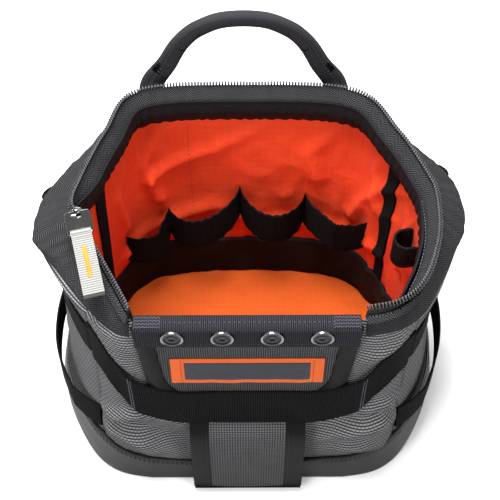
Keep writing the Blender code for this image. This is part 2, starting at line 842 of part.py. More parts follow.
def build_tool_band():
    sewn = facing_out
    stops = [(station * steps, top) for station, top in zip(tool_band_sewn_stations, tool_band_tops)]
    columns = []
    for index, depth in enumerate(tool_loop_depths):
        (first, low), (last, high) = stops[index], stops[index + 1]
        for step in range(tool_loop_steps):
            share = step / tool_loop_steps
            stand = depth * math.sin(math.pi * share) ** tool_loop_bow_share
            columns.append((first + (last - first) * share, low + (high - low) * share, stand))
    columns.append((stops[-1][0], stops[-1][1], 0))

    def face(column, row, depth):
        place, height, stand = column
        return inner(place, height + (row - 1) * tool_band_height, -sewn - stand - depth)

    strip_solid("tool_band", columns, [0, 1], lambda column, row: face(column, row, 0),
                lambda column, row: face(column, row, band_cloth), black_webbing)


def build_straps():
    rows = heights_between(strap_low, strap_high)
    for side, first in (("right", 6 * steps - 1), ("left", 10 * steps + 1)):
        strip_solid(side + "_inner_strap", columns_between(first, first + 1, sewn_gap), rows,
                    *band_on(inner, -facing_out, -facing_in), black_webbing)


def build_tether_loop():
    level = facing_out + tether_stand
    matrix = wall_axes(inner, tether_station * steps, mouth_height - tether_drop, -level)[0]
    turn = arc((0, -tether_depth + tether_half_width), tether_half_width, 180, 360, corner_steps)
    path = [(-tether_half_width, 0)] + turn + [(tether_half_width, 0)]
    loop = flat_curve("tether_loop", [thick_line(path, webbing)], tether_height)
    lift = Matrix.Translation((0, 0, tether_height / 2))
    add_object("tether_loop", loop, black_webbing, lift @ matrix)


def build_ring_tab():
    # Webbing folded round the ring's straight bar and sewn to the lining.
    top = mouth_height - ring_tab_drop
    _, origin, along, outwards = wall_axes(inner, ring_tab_station * steps, top, -facing_out)
    inwards = -outwards
    up = Vector((0, 0, 1))
    close = webbing / 2
    bar = (close + fold_radius, -ring_bar_drop)
    fold = arc(bar, fold_radius, 180, 405, 8)
    pinch = (bar[0] + seam_gap, bar[1] + fold_radius * ring_pinch_share)
    leg_gap = webbing + seam_gap
    path = [(close, 0)] + fold + [pinch, (close + leg_gap, -webbing)]
    outline = thick_line(path, webbing)
    matrix = axes_at(origin, inwards, up)
    add_object("ring_tab", flat_curve("ring_tab", [outline], 2 * ring_tab_half_width), black_webbing, matrix)
    rest = fold_radius - webbing / 2 - ring_wire / 2 - seam_gap
    pivot = origin + inwards * bar[0] + up * (bar[1] - rest)
    wire = bpy.data.curves.new("d_ring", "CURVE")
    wire.dimensions = "3D"
    wire.bevel_depth = ring_wire / 2
    wire.bevel_resolution = 1
    bow = arc((0, -ring_wire), ring_half_width, 0, -180, 10)
    spline = wire.splines.new("POLY")
    spline.points.add(len(bow) + 1)
    outline = [(ring_half_width, 0)] + bow + [(-ring_half_width, 0)]
    for point, place in zip(spline.points, outline):
        point.co = (place[0], place[1], 0, 1)
    spline.use_cyclic_u = True
    add_object("d_ring", wire, ring_steel, axes_at(pivot, along, up))
    return pivot, along


# Zipper slider, pull loop and pull tab
slider_length = 0.011
slider_width = 0.0082
slider_drop = 0.0022
slider_roof = 0.0016
slider_room = 0.0005
slider_run_end = 0.006
bail_thickness = 0.0022
bail_hole = 0.0016
bail_rim = 0.0016
bail_foot_share = 0.32
pull_wire = 0.0018
pull_turn = 13
pull_half_width = 0.0075
pull_length = 0.017
tab_width = 0.0125
tab_length = 0.045
pull_tab_cloth = 0.0016
pull_slope = 2


def slider_frame():
    # Origin on the chain's top middle line, x along the run towards the front corner, z up.
    corner = inner(ring_count - front_corner, chain_low, chain_middle)
    side = inner(ring_count - 4 * steps, chain_low, chain_middle)
    along = (corner - side).normalized()
    up = Vector((0, 0, 1))
    origin = side + along * (slider_run_end + slider_length / 2)
    origin.z = chain_low + chain_height
    return origin, along, up.cross(along)


def cut_with(target, size, place):
    bpy.ops.mesh.primitive_cube_add(size=1)
    cutter = bpy.context.object
    cutter.name = "slot_cutter"
    cutter.data.transform(Matrix.Diagonal((*size, 1)))
    cutter.matrix_world = target.matrix_world @ Matrix.Translation(place)
    for holder in list(cutter.users_collection):
        holder.objects.unlink(cutter)
    cutters.objects.link(cutter)
    cutter.hide_render = True
    cutter.display_type = "WIRE"
    cut = target.modifiers.new("slot", "BOOLEAN")
    cut.operation = "DIFFERENCE"
    cut.object = cutter


def build_slider():
    origin, along, across = slider_frame()
    roof_low = slider_room
    roof_high = roof_low + slider_roof
    bottom = -chain_height - seam_gap - slider_drop
    height = roof_high - bottom
    # Body with rounded upright corners, then the slot that the chain and tape run through.
    half_length = slider_length / 2
    half_width = slider_width / 2
    round_off = slider_width / 4
    corners = ((half_length, half_width), (-half_length, half_width),
               (-half_length, -half_width), (half_length, -half_width))
    outline = []
    for (x, y), start in zip(corners, (0, 90, 180, 270)):
        centre = (x - math.copysign(round_off, x), y - math.copysign(round_off, y))
        outline += arc(centre, round_off, start, start + 90, 3)
    matrix = axes_at(origin, along, across)
    body = flat_curve("zipper_slider", [outline], height)
    middle = (roof_high + bottom) / 2
    placed = add_object("zipper_slider", body, slider_metal, matrix @ Matrix.Translation((0, 0, middle)))
    slider = to_mesh(placed)
    slot_width = chain_width + 2 * slider_room
    slot_high = chain_height + seam_gap + 2 * slider_room
    cut_with(slider, (slider_length * 2, slot_width, slot_high),
             (0, 0, roof_low - slot_high / 2 - middle))
    tape_slot = tape_thickness + 2 * slider_room
    cut_with(slider, (slider_length * 2, tape_slot, height), (0, 0, bottom - middle))
    # The bail stands on the roof: a plate with a hole for the pull loop.
    bail_height = bail_hole + bail_rim
    foot = slider_length * bail_foot_share
    plate = [(-foot, 0)] + arc((0, bail_height), bail_height, 180, 0, 8) + [(foot, 0)]
    hole = arc((0, bail_height), bail_hole, 0, 324, 9)
    bail = flat_curve("slider_bail", [plate, hole], bail_thickness)
    turned = axes_at(origin + Vector((0, 0, roof_high - seam_gap)), along, Vector((0, 0, 1)))
    bail_object = to_mesh(add_object("slider_bail", bail, slider_metal, turned))
    parts.objects.unlink(bail_object)
    cutters.objects.link(bail_object)
    bail_object.hide_render = True
    bail_object.display_type = "WIRE"
    join = slider.modifiers.new("bail", "BOOLEAN")
    join.operation = "UNION"
    join.object = bail_object
    return origin + Vector((0, 0, roof_high - seam_gap + bail_height))


def to_mesh(placed):
    # A curve's solid as a closed mesh object under the same name.
    name = placed.name
    graph = bpy.context.evaluated_depsgraph_get()
    mesh = bpy.data.meshes.new_from_object(placed.evaluated_get(graph))
    welder = bmesh.new()
    welder.from_mesh(mesh)
    bmesh.ops.remove_doubles(welder, verts=welder.verts, dist=weld_distance)
    welder.to_mesh(mesh)
    welder.free()
    matrix = placed.matrix_world.copy()
    finish = placed.data.materials[0]
    bpy.data.objects.remove(placed, do_unlink=True)
    made = add_object(name, mesh, finish, matrix)
    made.name = name
    return made


def build_pull(bail_centre):
    _, along, _ = slider_frame()
    turn = Matrix.Rotation(-math.radians(pull_turn), 3, "Z")
    level_way = (turn @ along).normalized()
    axis = Vector((0, 0, 1)).cross(level_way)
    tip_down = Matrix.Rotation(math.radians(pull_slope), 3, axis)
    way = (tip_down @ level_way).normalized()
    # The loop's near bar sits in the hole and its far bar carries the tab.
    near = 0
    far = pull_length
    half = pull_half_width
    corner = pull_wire
    bends = ((far, half, 90, 0), (far, -half, 0, -90), (near, -half, 270, 180), (near, half, 180, 90))
    outline = []
    for x, y, start, end in bends:
        centre = (x - math.copysign(corner, x - far / 2), y - math.copysign(corner, y))
        outline += arc(centre, corner, start, end, 2)
    wire = bpy.data.curves.new("zipper_pull_loop", "CURVE")
    wire.dimensions = "3D"
    wire.bevel_depth = pull_wire / 2
    wire.bevel_resolution = 1
    spline = wire.splines.new("POLY")
    spline.points.add(len(outline) - 1)
    for point, place in zip(spline.points, outline):
        point.co = (place[0], place[1], 0, 1)
    spline.use_cyclic_u = True
    add_object("zipper_pull_loop", wire, slider_metal, axes_at(bail_centre, way, axis))
    # The tab is webbing folded round the far bar, drawn in its length and thickness.
    pivot = bail_centre + way * pull_length
    eye = pull_wire / 2 + sewn_gap + pull_tab_cloth / 2
    throat = pull_tab_cloth / 2 + seam_gap
    fold = arc((0, 0), eye, 50, 310, 8)
    path = [(tab_length, throat), (eye * 2, throat)] + fold + [(eye * 2, -throat), (tab_length, -throat)]
    tab = flat_curve("zipper_pull_tab", [thick_line(path, pull_tab_cloth)], tab_width)
    up = axis.cross(way) * -1
    add_object("zipper_pull_tab", tab, pale_webbing, axes_at(pivot, way, up))
    return axis, pivot


def centre_on_footprint():
    # The origin goes under the middle of the overall box.
    graph = bpy.context.evaluated_depsgraph_get()
    points = []
    for thing in parts.objects:
        seen = thing.evaluated_get(graph)
        points.extend(seen.matrix_world @ vertex.co for vertex in seen.to_mesh().vertices)
        seen.to_mesh_clear()
    low = [min(point[axis] for point in points) for axis in range(3)]
    high = [max(point[axis] for point in points) for axis in range(3)]
    shift = Vector((-(low[0] + high[0]) / 2, -(low[1] + high[1]) / 2, -low[2]))
    for thing in list(parts.objects) + list(cutters.objects):
        thing.matrix_world = Matrix.Translation(shift) @ thing.matrix_world
    print("overall box", [round((b - a) * 1000, 2) for a, b in zip(low, high)])
    return shift


clear_scene()
build_boot()
floor_sheet("floor_board", board_low, board_thickness, board_plastic)
floor_sheet("lining_floor", floor_cloth_low, lining_cloth, orange_cloth)
build_wall("front_body_panel", -side_seam, side_seam)
build_wall("right_side_panel", side_seam, back_corner)
build_wall("back_panel", back_corner, ring_count - back_corner)
build_wall("left_side_panel", ring_count - back_corner, ring_count - side_seam)
build_lining()
build_stays()
build_zipper()
build_collar()
cap_level = build_front_panel()
build_rivets(cap_level)
build_label()
build_belt(seam_gap + panel_cloth + binding_proud + seam_gap)
build_tunnel()
build_side_bands()
build_corner_tabs()
handle_pivot = build_handle()
build_tool_band()
build_straps()
build_tether_loop()
ring_pivot, ring_axis = build_ring_tab()
slider_bail = build_slider()
pull_axis, tab_pivot = build_pull(slider_bail)
bpy.context.view_layer.update()
shift = centre_on_footprint()
for name, place in (("handle pivot", handle_pivot), ("ring pivot", ring_pivot),
                    ("bail", slider_bail), ("tab pivot", tab_pivot)):
    print(name, [round(value, 5) for value in place + shift])
for name, way in (("ring axis", ring_axis), ("run", slider_frame()[1]), ("pull axis", pull_axis)):
    print(name, [round(value, 5) for value in way])
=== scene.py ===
# Tool pouch in woven cloth and webbing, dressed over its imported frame.
import json
import math

import bmesh
import bpy
import numpy as np
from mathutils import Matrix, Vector, noise


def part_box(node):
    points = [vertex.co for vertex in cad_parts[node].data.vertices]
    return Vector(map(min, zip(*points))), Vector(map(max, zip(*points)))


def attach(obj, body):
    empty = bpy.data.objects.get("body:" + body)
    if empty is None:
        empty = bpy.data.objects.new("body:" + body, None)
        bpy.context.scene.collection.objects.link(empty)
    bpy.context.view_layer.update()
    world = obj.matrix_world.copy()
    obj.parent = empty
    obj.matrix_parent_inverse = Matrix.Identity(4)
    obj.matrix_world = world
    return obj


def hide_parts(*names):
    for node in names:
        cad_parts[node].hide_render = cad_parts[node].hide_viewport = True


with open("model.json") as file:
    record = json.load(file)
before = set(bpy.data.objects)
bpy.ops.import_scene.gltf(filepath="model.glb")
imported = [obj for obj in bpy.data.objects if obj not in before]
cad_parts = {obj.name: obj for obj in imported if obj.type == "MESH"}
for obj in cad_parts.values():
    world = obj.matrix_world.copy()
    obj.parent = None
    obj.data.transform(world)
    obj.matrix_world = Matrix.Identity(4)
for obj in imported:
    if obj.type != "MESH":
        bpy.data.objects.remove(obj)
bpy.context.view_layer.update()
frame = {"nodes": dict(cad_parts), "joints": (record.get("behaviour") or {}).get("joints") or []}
print("frame loaded:", len(frame["nodes"]), "nodes")


# small tools

def linearColour(hexColour):
    # sRGB hex to the linear values that shaders take
    channels = [int(hexColour[i:i + 2], 16) / 255 for i in (1, 3, 5)]
    return tuple(c / 12.92 if c <= 0.04045 else ((c + 0.055) / 1.055) ** 2.4 for c in channels) + (1.0,)


def addNode(tree, kind, inputs=None, **settings):
    node = tree.nodes.new(kind)
    for key, value in settings.items():
        setattr(node, key, value)
    for key, value in (inputs or {}).items():
        if isinstance(value, bpy.types.NodeSocket):
            tree.links.new(value, node.inputs[key])
        else:
            node.inputs[key].default_value = value
    return node


def smoothStep(value, low, high):
    share = np.clip((value - low) / (high - low), 0, 1)
    return share * share * (3 - 2 * share)


def unit(vectors):
    return vectors / np.maximum(np.linalg.norm(vectors, axis=-1, keepdims=True), 1e-12)


def crumple(points, stretch, seed):
    # soft random creases: one noise value for each point, from about -1 to 1
    flat = points.reshape(-1, 3) * np.array(stretch) + seed
    values = [noise.fractal(Vector(p), 0.9, 2.1, 3) for p in flat]
    return np.array(values).reshape(points.shape[:-1])


# the pouch's plan, station by station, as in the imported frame

pouch = {
    "halfWidth": 0.139, "halfDepth": 0.100, "mouthHeight": 0.199, "panelCloth": 0.003, "sidePad": 0.026,
    "gap": 0.0003, "sewnGap": 0.0005,
    "bootHeight": 0.040, "beltLow": 0.090,
    "lowerBandLow": 0.050, "upperBandLow": 0.140, "bandWidth": 0.025, "shoulder": 0.182,
    "liningTop": 0.186, "innerBandTop": 0.050, "liningFoot": 0.0081,
    "baseOutline": ((0, -0.975), (0.504, -0.975), (0.755, -0.86), (0.93, -0.50), (1.0, -0.15),
                    (0.986, 0.30), (0.863, 0.70), (0.54, 0.89), (0, 0.90)),
    "mouthRight": ((0, -0.90), (0.504, -0.90), (0.748, -0.78), (0.906, -0.42), (1.0, -0.04),
                   (0.98, 0.26), (0.80, 0.62), (0.55, 0.96), (0, 1.02)),
    "mouthLeft": ((0, -0.90), (0.504, -0.90), (0.712, -0.70), (0.885, -0.38), (0.964, -0.13),
                  (0.928, 0.20), (0.755, 0.60), (0.55, 0.96), (0, 1.02)),
    "basePads": (0, 0, 0.19, 0.58, 0.65, 0.73, 0.79, 0.27, 0),
    "mouthPadsRight": (0, 0, 0.08, 0.24, 0.58, 0.70, 0.37, 0.04, 0),
    "mouthPadsLeft": (0, 0, 0.50, 0.80, 0.80, 0.76, 0.36, 0.04, 0),
    # the walls draw in between boot and rim, by station and by height, and the boot's edge dips in front
    "waistDepth": 0.013, "waistStations": (0, 0, 0.25, 0.65, 1.0, 1.0, 0.50, 0, 0),
    "waistHeights": ((0.020, 0), (0.050, 0.45), (0.075, 0.85), (0.090, 1), (0.140, 1), (0.165, 0.88),
                     (0.184, 0)),
    "bootTop": (0.56, 0.82, 1.08, 1.15, 1.15, 1.12, 1.05, 1.0, 1.0),
    # the collar's lower edge is drawn up towards the front, by a share of collarDraw at each station
    "collarDraw": 0.0150, "collarDrawShares": (1.05, 1.05, 1.05, 1.0, 0.7, 0.2, 0, 0, 0),
    # beside the front panel the belt climbs, by a share of beltRise at each of the places 0 to 6
    "beltWidth": 0.038, "beltRise": 0.0465, "beltRiseShares": (0, 0, 0, 0.25, 0.62, 0.90, 1.0),
}
places = 48          # places round the ring, 0 at the middle of the front, the right side first
frontCorner, sideSeam, backCorner = 3, 6, 21
stationCount = 16    # stations of the plan round the ring, every third place
stationPlaces = places // stationCount
spanSamples = 36     # table entries from one station to the next
samples = stationCount * spanSamples


def signedPlace(place):
    # the same place counted from the front's middle, to the left of it below 0
    return np.mod(np.asarray(place, float) + places / 2, places) - places / 2


def stationOf(place):
    # 0 at the front's middle to 8 at the back's, the same on both sides
    return np.abs(signedPlace(place)) / stationPlaces


def aroundBoth(right, left):
    return np.array(list(right) + [(-x, y) for x, y in left[-2:0:-1]], float)


def stationNormals(points):
    arriving = unit(points - np.roll(points, 1, axis=0))
    along = unit(arriving + unit(np.roll(points, -1, axis=0) - points))
    return np.stack((along[:, 1], -along[:, 0]), 1)


def spanPoint(before, start, end, after, t):
    # a soft curve from start to end that also minds the points on either side
    return 0.5 * (2 * start + (end - before) * t + (2 * before - 5 * start + 4 * end - after) * t * t
                  + (3 * start - before - 3 * end + after) * t ** 3)


def ringTable(stations, straightSpans):
    # smooth plan outline with a point and an outward direction for each sample
    found = []
    for span in range(stationCount):
        near = [stations[(span + shift) % stationCount] for shift in (-1, 0, 1, 2)]
        for t in np.arange(spanSamples) / spanSamples:
            if span in straightSpans:
                found.append(near[1] + (near[2] - near[1]) * t)
            else:
                found.append(spanPoint(*near, t))
    found = np.array(found)
    reach = spanSamples // 4
    along = unit(np.roll(found, -reach, axis=0) - np.roll(found, reach, axis=0))
    return np.concatenate((found, np.stack((along[:, 1], -along[:, 0]), 1)), 1)


def buildRings():
    scale = np.array((pouch["halfWidth"], pouch["halfDepth"]))
    base = aroundBoth(pouch["baseOutline"], pouch["baseOutline"]) * scale
    mouth = aroundBoth(pouch["mouthRight"], pouch["mouthLeft"]) * scale

    def padded(outline, right, left):
        pads = np.array(list(right) + list(left[-2:0:-1]))[:, None]
        return outline - stationNormals(outline) * (pouch["panelCloth"] + pads * pouch["sidePad"])

    innerBase = padded(base, pouch["basePads"], pouch["basePads"])
    innerMouth = padded(mouth, pouch["mouthPadsRight"], pouch["mouthPadsLeft"])
    # at the front both walls run straight, and the left inner wall is straight from station 12 to 15
    frontSpans, leftSpans = (0, stationCount - 1), (12, 13, 14)
    for back, share in ((2, 1 / 3), (3, 2 / 3)):
        innerMouth[stationCount - back] = innerMouth[15] * (1 - share) + innerMouth[12] * share
    return ((ringTable(base, frontSpans), ringTable(mouth, frontSpans)),
            (ringTable(innerBase, frontSpans), ringTable(innerMouth, frontSpans + leftSpans)))


outerRings, innerRings = buildRings()
footLevel = 0.0033   # where the cloth panels start, above the ground
baseFront, mouthFront = pouch["baseOutline"][0][1], pouch["mouthRight"][0][1]
footY = pouch["halfDepth"] * (baseFront + (mouthFront - baseFront) * footLevel / pouch["mouthHeight"])
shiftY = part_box("front_body_panel")[0][1] - footY    # how far the frame is centred


def smoothTable(stops, values, where):
    # a soft curve through a table's rows
    stops, values = np.asarray(stops, float), np.asarray(values, float)
    slopes = np.gradient(values, stops)
    span = np.clip(np.searchsorted(stops, where, side="right") - 1, 0, len(stops) - 2)
    width = stops[span + 1] - stops[span]
    t = np.clip((where - stops[span]) / width, 0, 1)
    return (values[span] * (1 + 2 * t) * (1 - t) ** 2 + slopes[span] * width * t * (1 - t) ** 2
            + values[span + 1] * t * t * (3 - 2 * t) - slopes[span + 1] * width * t * t * (1 - t))


def waistAt(place, height):
    # how far the wall is drawn in there
    around = np.clip(smoothTable(range(9), pouch["waistStations"], stationOf(place)), 0, 1.05)
    heights, shares = zip(*pouch["waistHeights"])
    return pouch["waistDepth"] * around * np.interp(height, heights, shares)


def wallPoints(rings, place, height, lift):
    # points on a wall face; lift is outwards and level
    place, height, lift = np.broadcast_arrays(np.asarray(place, float), height, lift)
    turn = np.mod(place, places) / places * samples
    low = np.floor(turn).astype(int)
    share = (turn - low)[..., None]
    rise = np.clip(height / pouch["mouthHeight"], 0, 1)[..., None]
    base, mouth = (table[low % samples] * (1 - share) + table[(low + 1) % samples] * share
                   for table in rings)
    level = base * (1 - rise) + mouth * rise
    flat = level[..., :2] + level[..., 2:] * lift[..., None]
    return np.stack((flat[..., 0], flat[..., 1] + shiftY, height), -1)


def outer(place, height, lift):
    return wallPoints(outerRings, place, height, lift - waistAt(place, height))


def inner(place, height, lift):
    return wallPoints(innerRings, place, height, lift)


def gridOf(columns, rows):
    return np.meshgrid(np.asarray(columns, float), np.asarray(rows, float), indexing="ij")


def spread(first, last, count):
    return np.linspace(first, last, count)


# mesh makers

def newPiece(name, mesh, finish):
    piece = bpy.data.objects.new(name, mesh)
    mesh.materials.clear()
    mesh.materials.append(finish)
    bpy.context.scene.collection.objects.link(piece)
    return piece


def settle(piece):
    # the evaluated shape becomes the piece's own plain mesh
    graph = bpy.context.evaluated_depsgraph_get()
    mesh = bpy.data.meshes.new_from_object(piece.evaluated_get(graph), preserve_all_data_layers=True,
                                           depsgraph=graph)
    piece.modifiers.clear()
    piece.data = mesh
    return piece


def softenEdges(piece, width, segments=2):
    bevel = piece.modifiers.new("softEdge", "BEVEL")
    bevel.width = width
    bevel.segments = segments
    bevel.limit_method = "ANGLE"
    bevel.angle_limit = math.radians(50)
    settle(piece)
    piece.data.shade_smooth()
    piece.data.set_sharp_from_angle(angle=math.radians(60))
    return piece


def loft(name, outFace, inFace, finish, closed=False, edge=0.0004):
    # a closed cloth solid between two grids of points; its UV map is in metres along and up the cloth
    wide, tall = outFace.shape[:2]
    spans = wide if closed else wide - 1
    columns = np.arange(spans)[:, None]
    rows = np.arange(tall - 1)[None, :]
    corners = []

    def add(*quad):
        corners.append(np.stack([np.stack(np.broadcast_arrays(c, r, s), -1).reshape(-1, 3)
                                 for c, r, s in quad], 1))

    add((columns, rows, 0), (columns + 1, rows, 0), (columns + 1, rows + 1, 0), (columns, rows + 1, 0))
    add((columns, rows, 1), (columns, rows + 1, 1), (columns + 1, rows + 1, 1), (columns + 1, rows, 1))
    top, low = tall - 1, 0
    add((columns, top, 0), (columns + 1, top, 0), (columns + 1, top, 1), (columns, top, 1))
    add((columns, low, 0), (columns, low, 1), (columns + 1, low, 1), (columns + 1, low, 0))
    if not closed:
        last = wide - 1
        add((0, rows, 0), (0, rows + 1, 0), (0, rows + 1, 1), (0, rows, 1))
        add((last, rows, 0), (last, rows, 1), (last, rows + 1, 1), (last, rows + 1, 0))
    corners = np.concatenate(corners)
    index = corners[..., 2] * wide * tall + (corners[..., 0] % wide) * tall + corners[..., 1]
    middle = outFace[:, tall // 2]
    steps = np.linalg.norm(np.roll(middle, -1, axis=0) - middle, axis=-1)
    along = np.concatenate(([0], np.cumsum(steps)))
    up = np.linalg.norm(np.diff(outFace, axis=1), axis=-1)
    up = np.concatenate((np.zeros((wide, 1)), np.cumsum(up, axis=1)), 1)
    uvs = np.stack((along[corners[..., 0]], up[corners[..., 0] % wide, corners[..., 1]]), -1)
    points = np.concatenate((outFace.reshape(-1, 3), inFace.reshape(-1, 3)))
    mesh = bpy.data.meshes.new(name)
    mesh.from_pydata(points.tolist(), [], index.tolist())
    mesh.uv_layers.new(name="clothUv").data.foreach_set("uv", uvs.reshape(-1).astype(np.float32))
    piece = newPiece(name, mesh, finish)
    mesh.shade_smooth()
    return softenEdges(piece, edge) if edge else piece


def curvePath(points, count):
    # a smooth path through a few points
    points = np.asarray(points, float)
    ends = np.concatenate((2 * points[:1] - points[1:2], points, 2 * points[-1:] - points[-2:-1]))
    found = []
    for t in np.linspace(0, len(points) - 1 - 1e-9, count):
        span = int(t)
        t -= span
        found.append(spanPoint(*ends[span:span + 4], t))
    return np.array(found)


def roundedPath(points, radius, steps=6):
    # straight runs joined by arcs of one radius
    points = [np.asarray(p, float) for p in points]
    found = [points[0]]
    for before, here, after in zip(points, points[1:], points[2:]):
        inward, outward = unit(before - here), unit(after - here)
        angle = math.acos(max(-1, min(1, float(inward @ outward))))
        if angle > math.pi - 0.02:    # straight enough to need no arc
            found.append(here)
            continue
        reach = min(radius / math.tan(angle / 2), 0.49 * np.linalg.norm(before - here),
                    0.49 * np.linalg.norm(after - here))
        start, end = here + inward * reach, here + outward * reach
        for t in np.linspace(0, 1, steps + 1):
            found.append((1 - t) ** 2 * start + 2 * t * (1 - t) * here + t * t * end)
    found.append(points[-1])
    return np.array(found)


def refinePath(path, spacing):
    # more points along the same line
    lengths = np.linalg.norm(np.diff(path, axis=0), axis=1)
    total = np.concatenate(([0], np.cumsum(lengths)))
    count = max(2, int(total[-1] / spacing) + 1)
    wanted = np.unique(np.concatenate((np.linspace(0, total[-1], count), total)))
    return np.stack([np.interp(wanted, total, path[:, axis]) for axis in range(3)], 1)


def strap(name, path, across, width, thickness, finish, edge=0.0004, acrossSteps=5, crown=0.0):
    # webbing of even width along a path; across may be one direction or one for each point
    path = np.asarray(path, float)
    across = np.broadcast_to(np.asarray(across, float), path.shape)
    tangent = unit(np.gradient(path, axis=0))
    across = unit(across - tangent * (across * tangent).sum(1, keepdims=True))
    normal = np.cross(tangent, across)
    arriving = unit(np.diff(path, axis=0, prepend=2 * path[:1] - path[1:2]))
    mitre = np.clip((arriving * tangent).sum(1), 0.6, 1)[:, None, None]    # keeps the thickness in a bend
    width = np.broadcast_to(width, len(path))
    thickness = np.broadcast_to(thickness, len(path))
    shares = np.linspace(-0.5, 0.5, acrossSteps)
    offsets = across[:, None] * (width[:, None] * shares)[..., None]
    domed = (thickness[:, None] / 2 + crown * (1 - (2 * shares) ** 2))[..., None]
    lift = normal[:, None] / mitre
    return loft(name, path[:, None] + offsets + lift * domed,
                path[:, None] + offsets - lift * (thickness / 2)[:, None, None], finish, edge=edge)


def laidAt(base):
    # puts a flat outline level at a height, for patch
    return lambda x, y, lift: np.stack((x, y, base + lift), -1)


def patch(name, outline, thickness, crown, place, finish, rings=7, edge=0.0003):
    # a flat cloth shape with a slight crown; place(x, y, lift) puts it in space
    outline = np.asarray(outline, float)
    count = len(outline)
    centre = (outline.min(0) + outline.max(0)) / 2
    shares = 1 - np.arange(rings) / rings
    flat = centre + (outline - centre)[None] * shares[:, None, None]
    lift = np.broadcast_to((thickness + crown * (1 - shares ** 2))[:, None], flat.shape[:2])
    top = place(flat[..., 0], flat[..., 1], lift).reshape(-1, 3)
    bottom = place(outline[:, 0], outline[:, 1], np.zeros(count))
    faces = []
    for ring in range(rings - 1):
        for i in range(count):
            j = (i + 1) % count
            faces.append((ring * count + i, ring * count + j, (ring + 1) * count + j,
                          (ring + 1) * count + i))
    faces.append([(rings - 1) * count + i for i in range(count)])
    under = rings * count
    faces.extend((under + i, under + (i + 1) % count, (i + 1) % count, i) for i in range(count))
    faces.append([under + i for i in reversed(range(count))])
    mesh = bpy.data.meshes.new(name)
    mesh.from_pydata(np.concatenate((top, bottom)).tolist(), [], faces)
    plane = np.concatenate((flat.reshape(-1, 2), outline))
    layer = mesh.uv_layers.new(name="clothUv")
    for loop in mesh.loops:
        layer.data[loop.index].uv = plane[loop.vertex_index]
    piece = newPiece(name, mesh, finish)
    return softenEdges(piece, edge)


def refinedCopy(name, node, finish, width, subdivisions=0):
    # a rigid piece with the frame's own shape, its edges rounded
    source = frame["nodes"][node]
    mesh = source.data.copy()
    build = bmesh.new()
    build.from_mesh(mesh)
    bmesh.ops.remove_doubles(build, verts=build.verts, dist=0.00001)
    bmesh.ops.dissolve_limit(build, angle_limit=math.radians(1), verts=build.verts, edges=build.edges)
    build.to_mesh(mesh)
    build.free()
    piece = newPiece(name, mesh, finish)
    if width:
        softenEdges(piece, width)
    if subdivisions:
        rounder = piece.modifiers.new("rounder", "SUBSURF")
        rounder.levels = rounder.render_levels = subdivisions
        settle(piece)
    piece.data.shade_smooth()
    piece.data.set_sharp_from_angle(angle=math.radians(45))
    return piece


# Geometry Nodes: thread runs, zipper coils and rivets

def newTree(name, sockets):
    tree = bpy.data.node_groups.new(name, "GeometryNodeTree")
    tree.interface.new_socket("Geometry", in_out="INPUT", socket_type="NodeSocketGeometry")
    for label, kind in sockets:
        tree.interface.new_socket(label, in_out="INPUT", socket_type=kind)
    tree.interface.new_socket("Geometry", in_out="OUTPUT", socket_type="NodeSocketGeometry")
    return tree, addNode(tree, "NodeGroupInput").outputs


def closeTree(tree, instances, finish):
    real = addNode(tree, "GeometryNodeRealizeInstances", {"Geometry": instances})
    smooth = addNode(tree, "GeometryNodeSetShadeSmooth", {"Geometry": real.outputs[0]})
    painted = addNode(tree, "GeometryNodeSetMaterial", {"Geometry": smooth.outputs[0], "Material": finish})
    addNode(tree, "NodeGroupOutput", {"Geometry": painted.outputs[0]})
    return tree


def threadTree():
    # one small rounded stitch at each step of every line
    tree, given = newTree("threadRun", (("Step", "NodeSocketFloat"), ("Stitch length", "NodeSocketFloat"),
                                        ("Thread radius", "NodeSocketFloat"),
                                        ("Thread", "NodeSocketMaterial")))
    curve = addNode(tree, "GeometryNodeMeshToCurve", {"Mesh": given["Geometry"]})
    spots = addNode(tree, "GeometryNodeCurveToPoints", {"Curve": curve.outputs[0], "Length": given["Step"]},
                    mode="LENGTH")
    half = addNode(tree, "ShaderNodeMath", {0: given["Stitch length"], 1: 0.5}, operation="MULTIPLY")
    size = addNode(tree, "ShaderNodeCombineXYZ", {0: given["Thread radius"], 1: given["Thread radius"],
                                                  2: half.outputs[0]})
    ball = addNode(tree, "GeometryNodeMeshIcoSphere", {"Radius": 1.0, "Subdivisions": 1})
    laid = addNode(tree, "GeometryNodeInstanceOnPoints",
                   {"Points": spots.outputs["Points"], "Instance": ball.outputs[0],
                    "Rotation": spots.outputs["Rotation"], "Scale": size.outputs[0]})
    return closeTree(tree, laid.outputs[0], given["Thread"])


def coilTree():
    # turns of a zipper coil, side by side along a level line
    tree, given = newTree("zipperCoil", (("Pitch", "NodeSocketFloat"), ("Width", "NodeSocketFloat"),
                                         ("Height", "NodeSocketFloat"), ("Coil", "NodeSocketMaterial")))
    curve = addNode(tree, "GeometryNodeMeshToCurve", {"Mesh": given["Geometry"]})
    spots = addNode(tree, "GeometryNodeCurveToPoints", {"Curve": curve.outputs[0], "Length": given["Pitch"]},
                    mode="LENGTH")
    turned = addNode(tree, "FunctionNodeAlignRotationToVector", {"Vector": spots.outputs["Tangent"]},
                     axis="X", pivot_axis="Z")
    ball = addNode(tree, "GeometryNodeMeshUVSphere", {"Segments": 8, "Rings": 6, "Radius": 0.5})
    long = addNode(tree, "ShaderNodeMath", {0: given["Pitch"], 1: 0.74}, operation="MULTIPLY")
    size = addNode(tree, "ShaderNodeCombineXYZ", {0: long.outputs[0], 1: given["Width"], 2: given["Height"]})
    laid = addNode(tree, "GeometryNodeInstanceOnPoints",
                   {"Points": spots.outputs["Points"], "Instance": ball.outputs[0],
                    "Rotation": turned.outputs[0], "Scale": size.outputs[0]})
    return closeTree(tree, laid.outputs[0], given["Coil"])


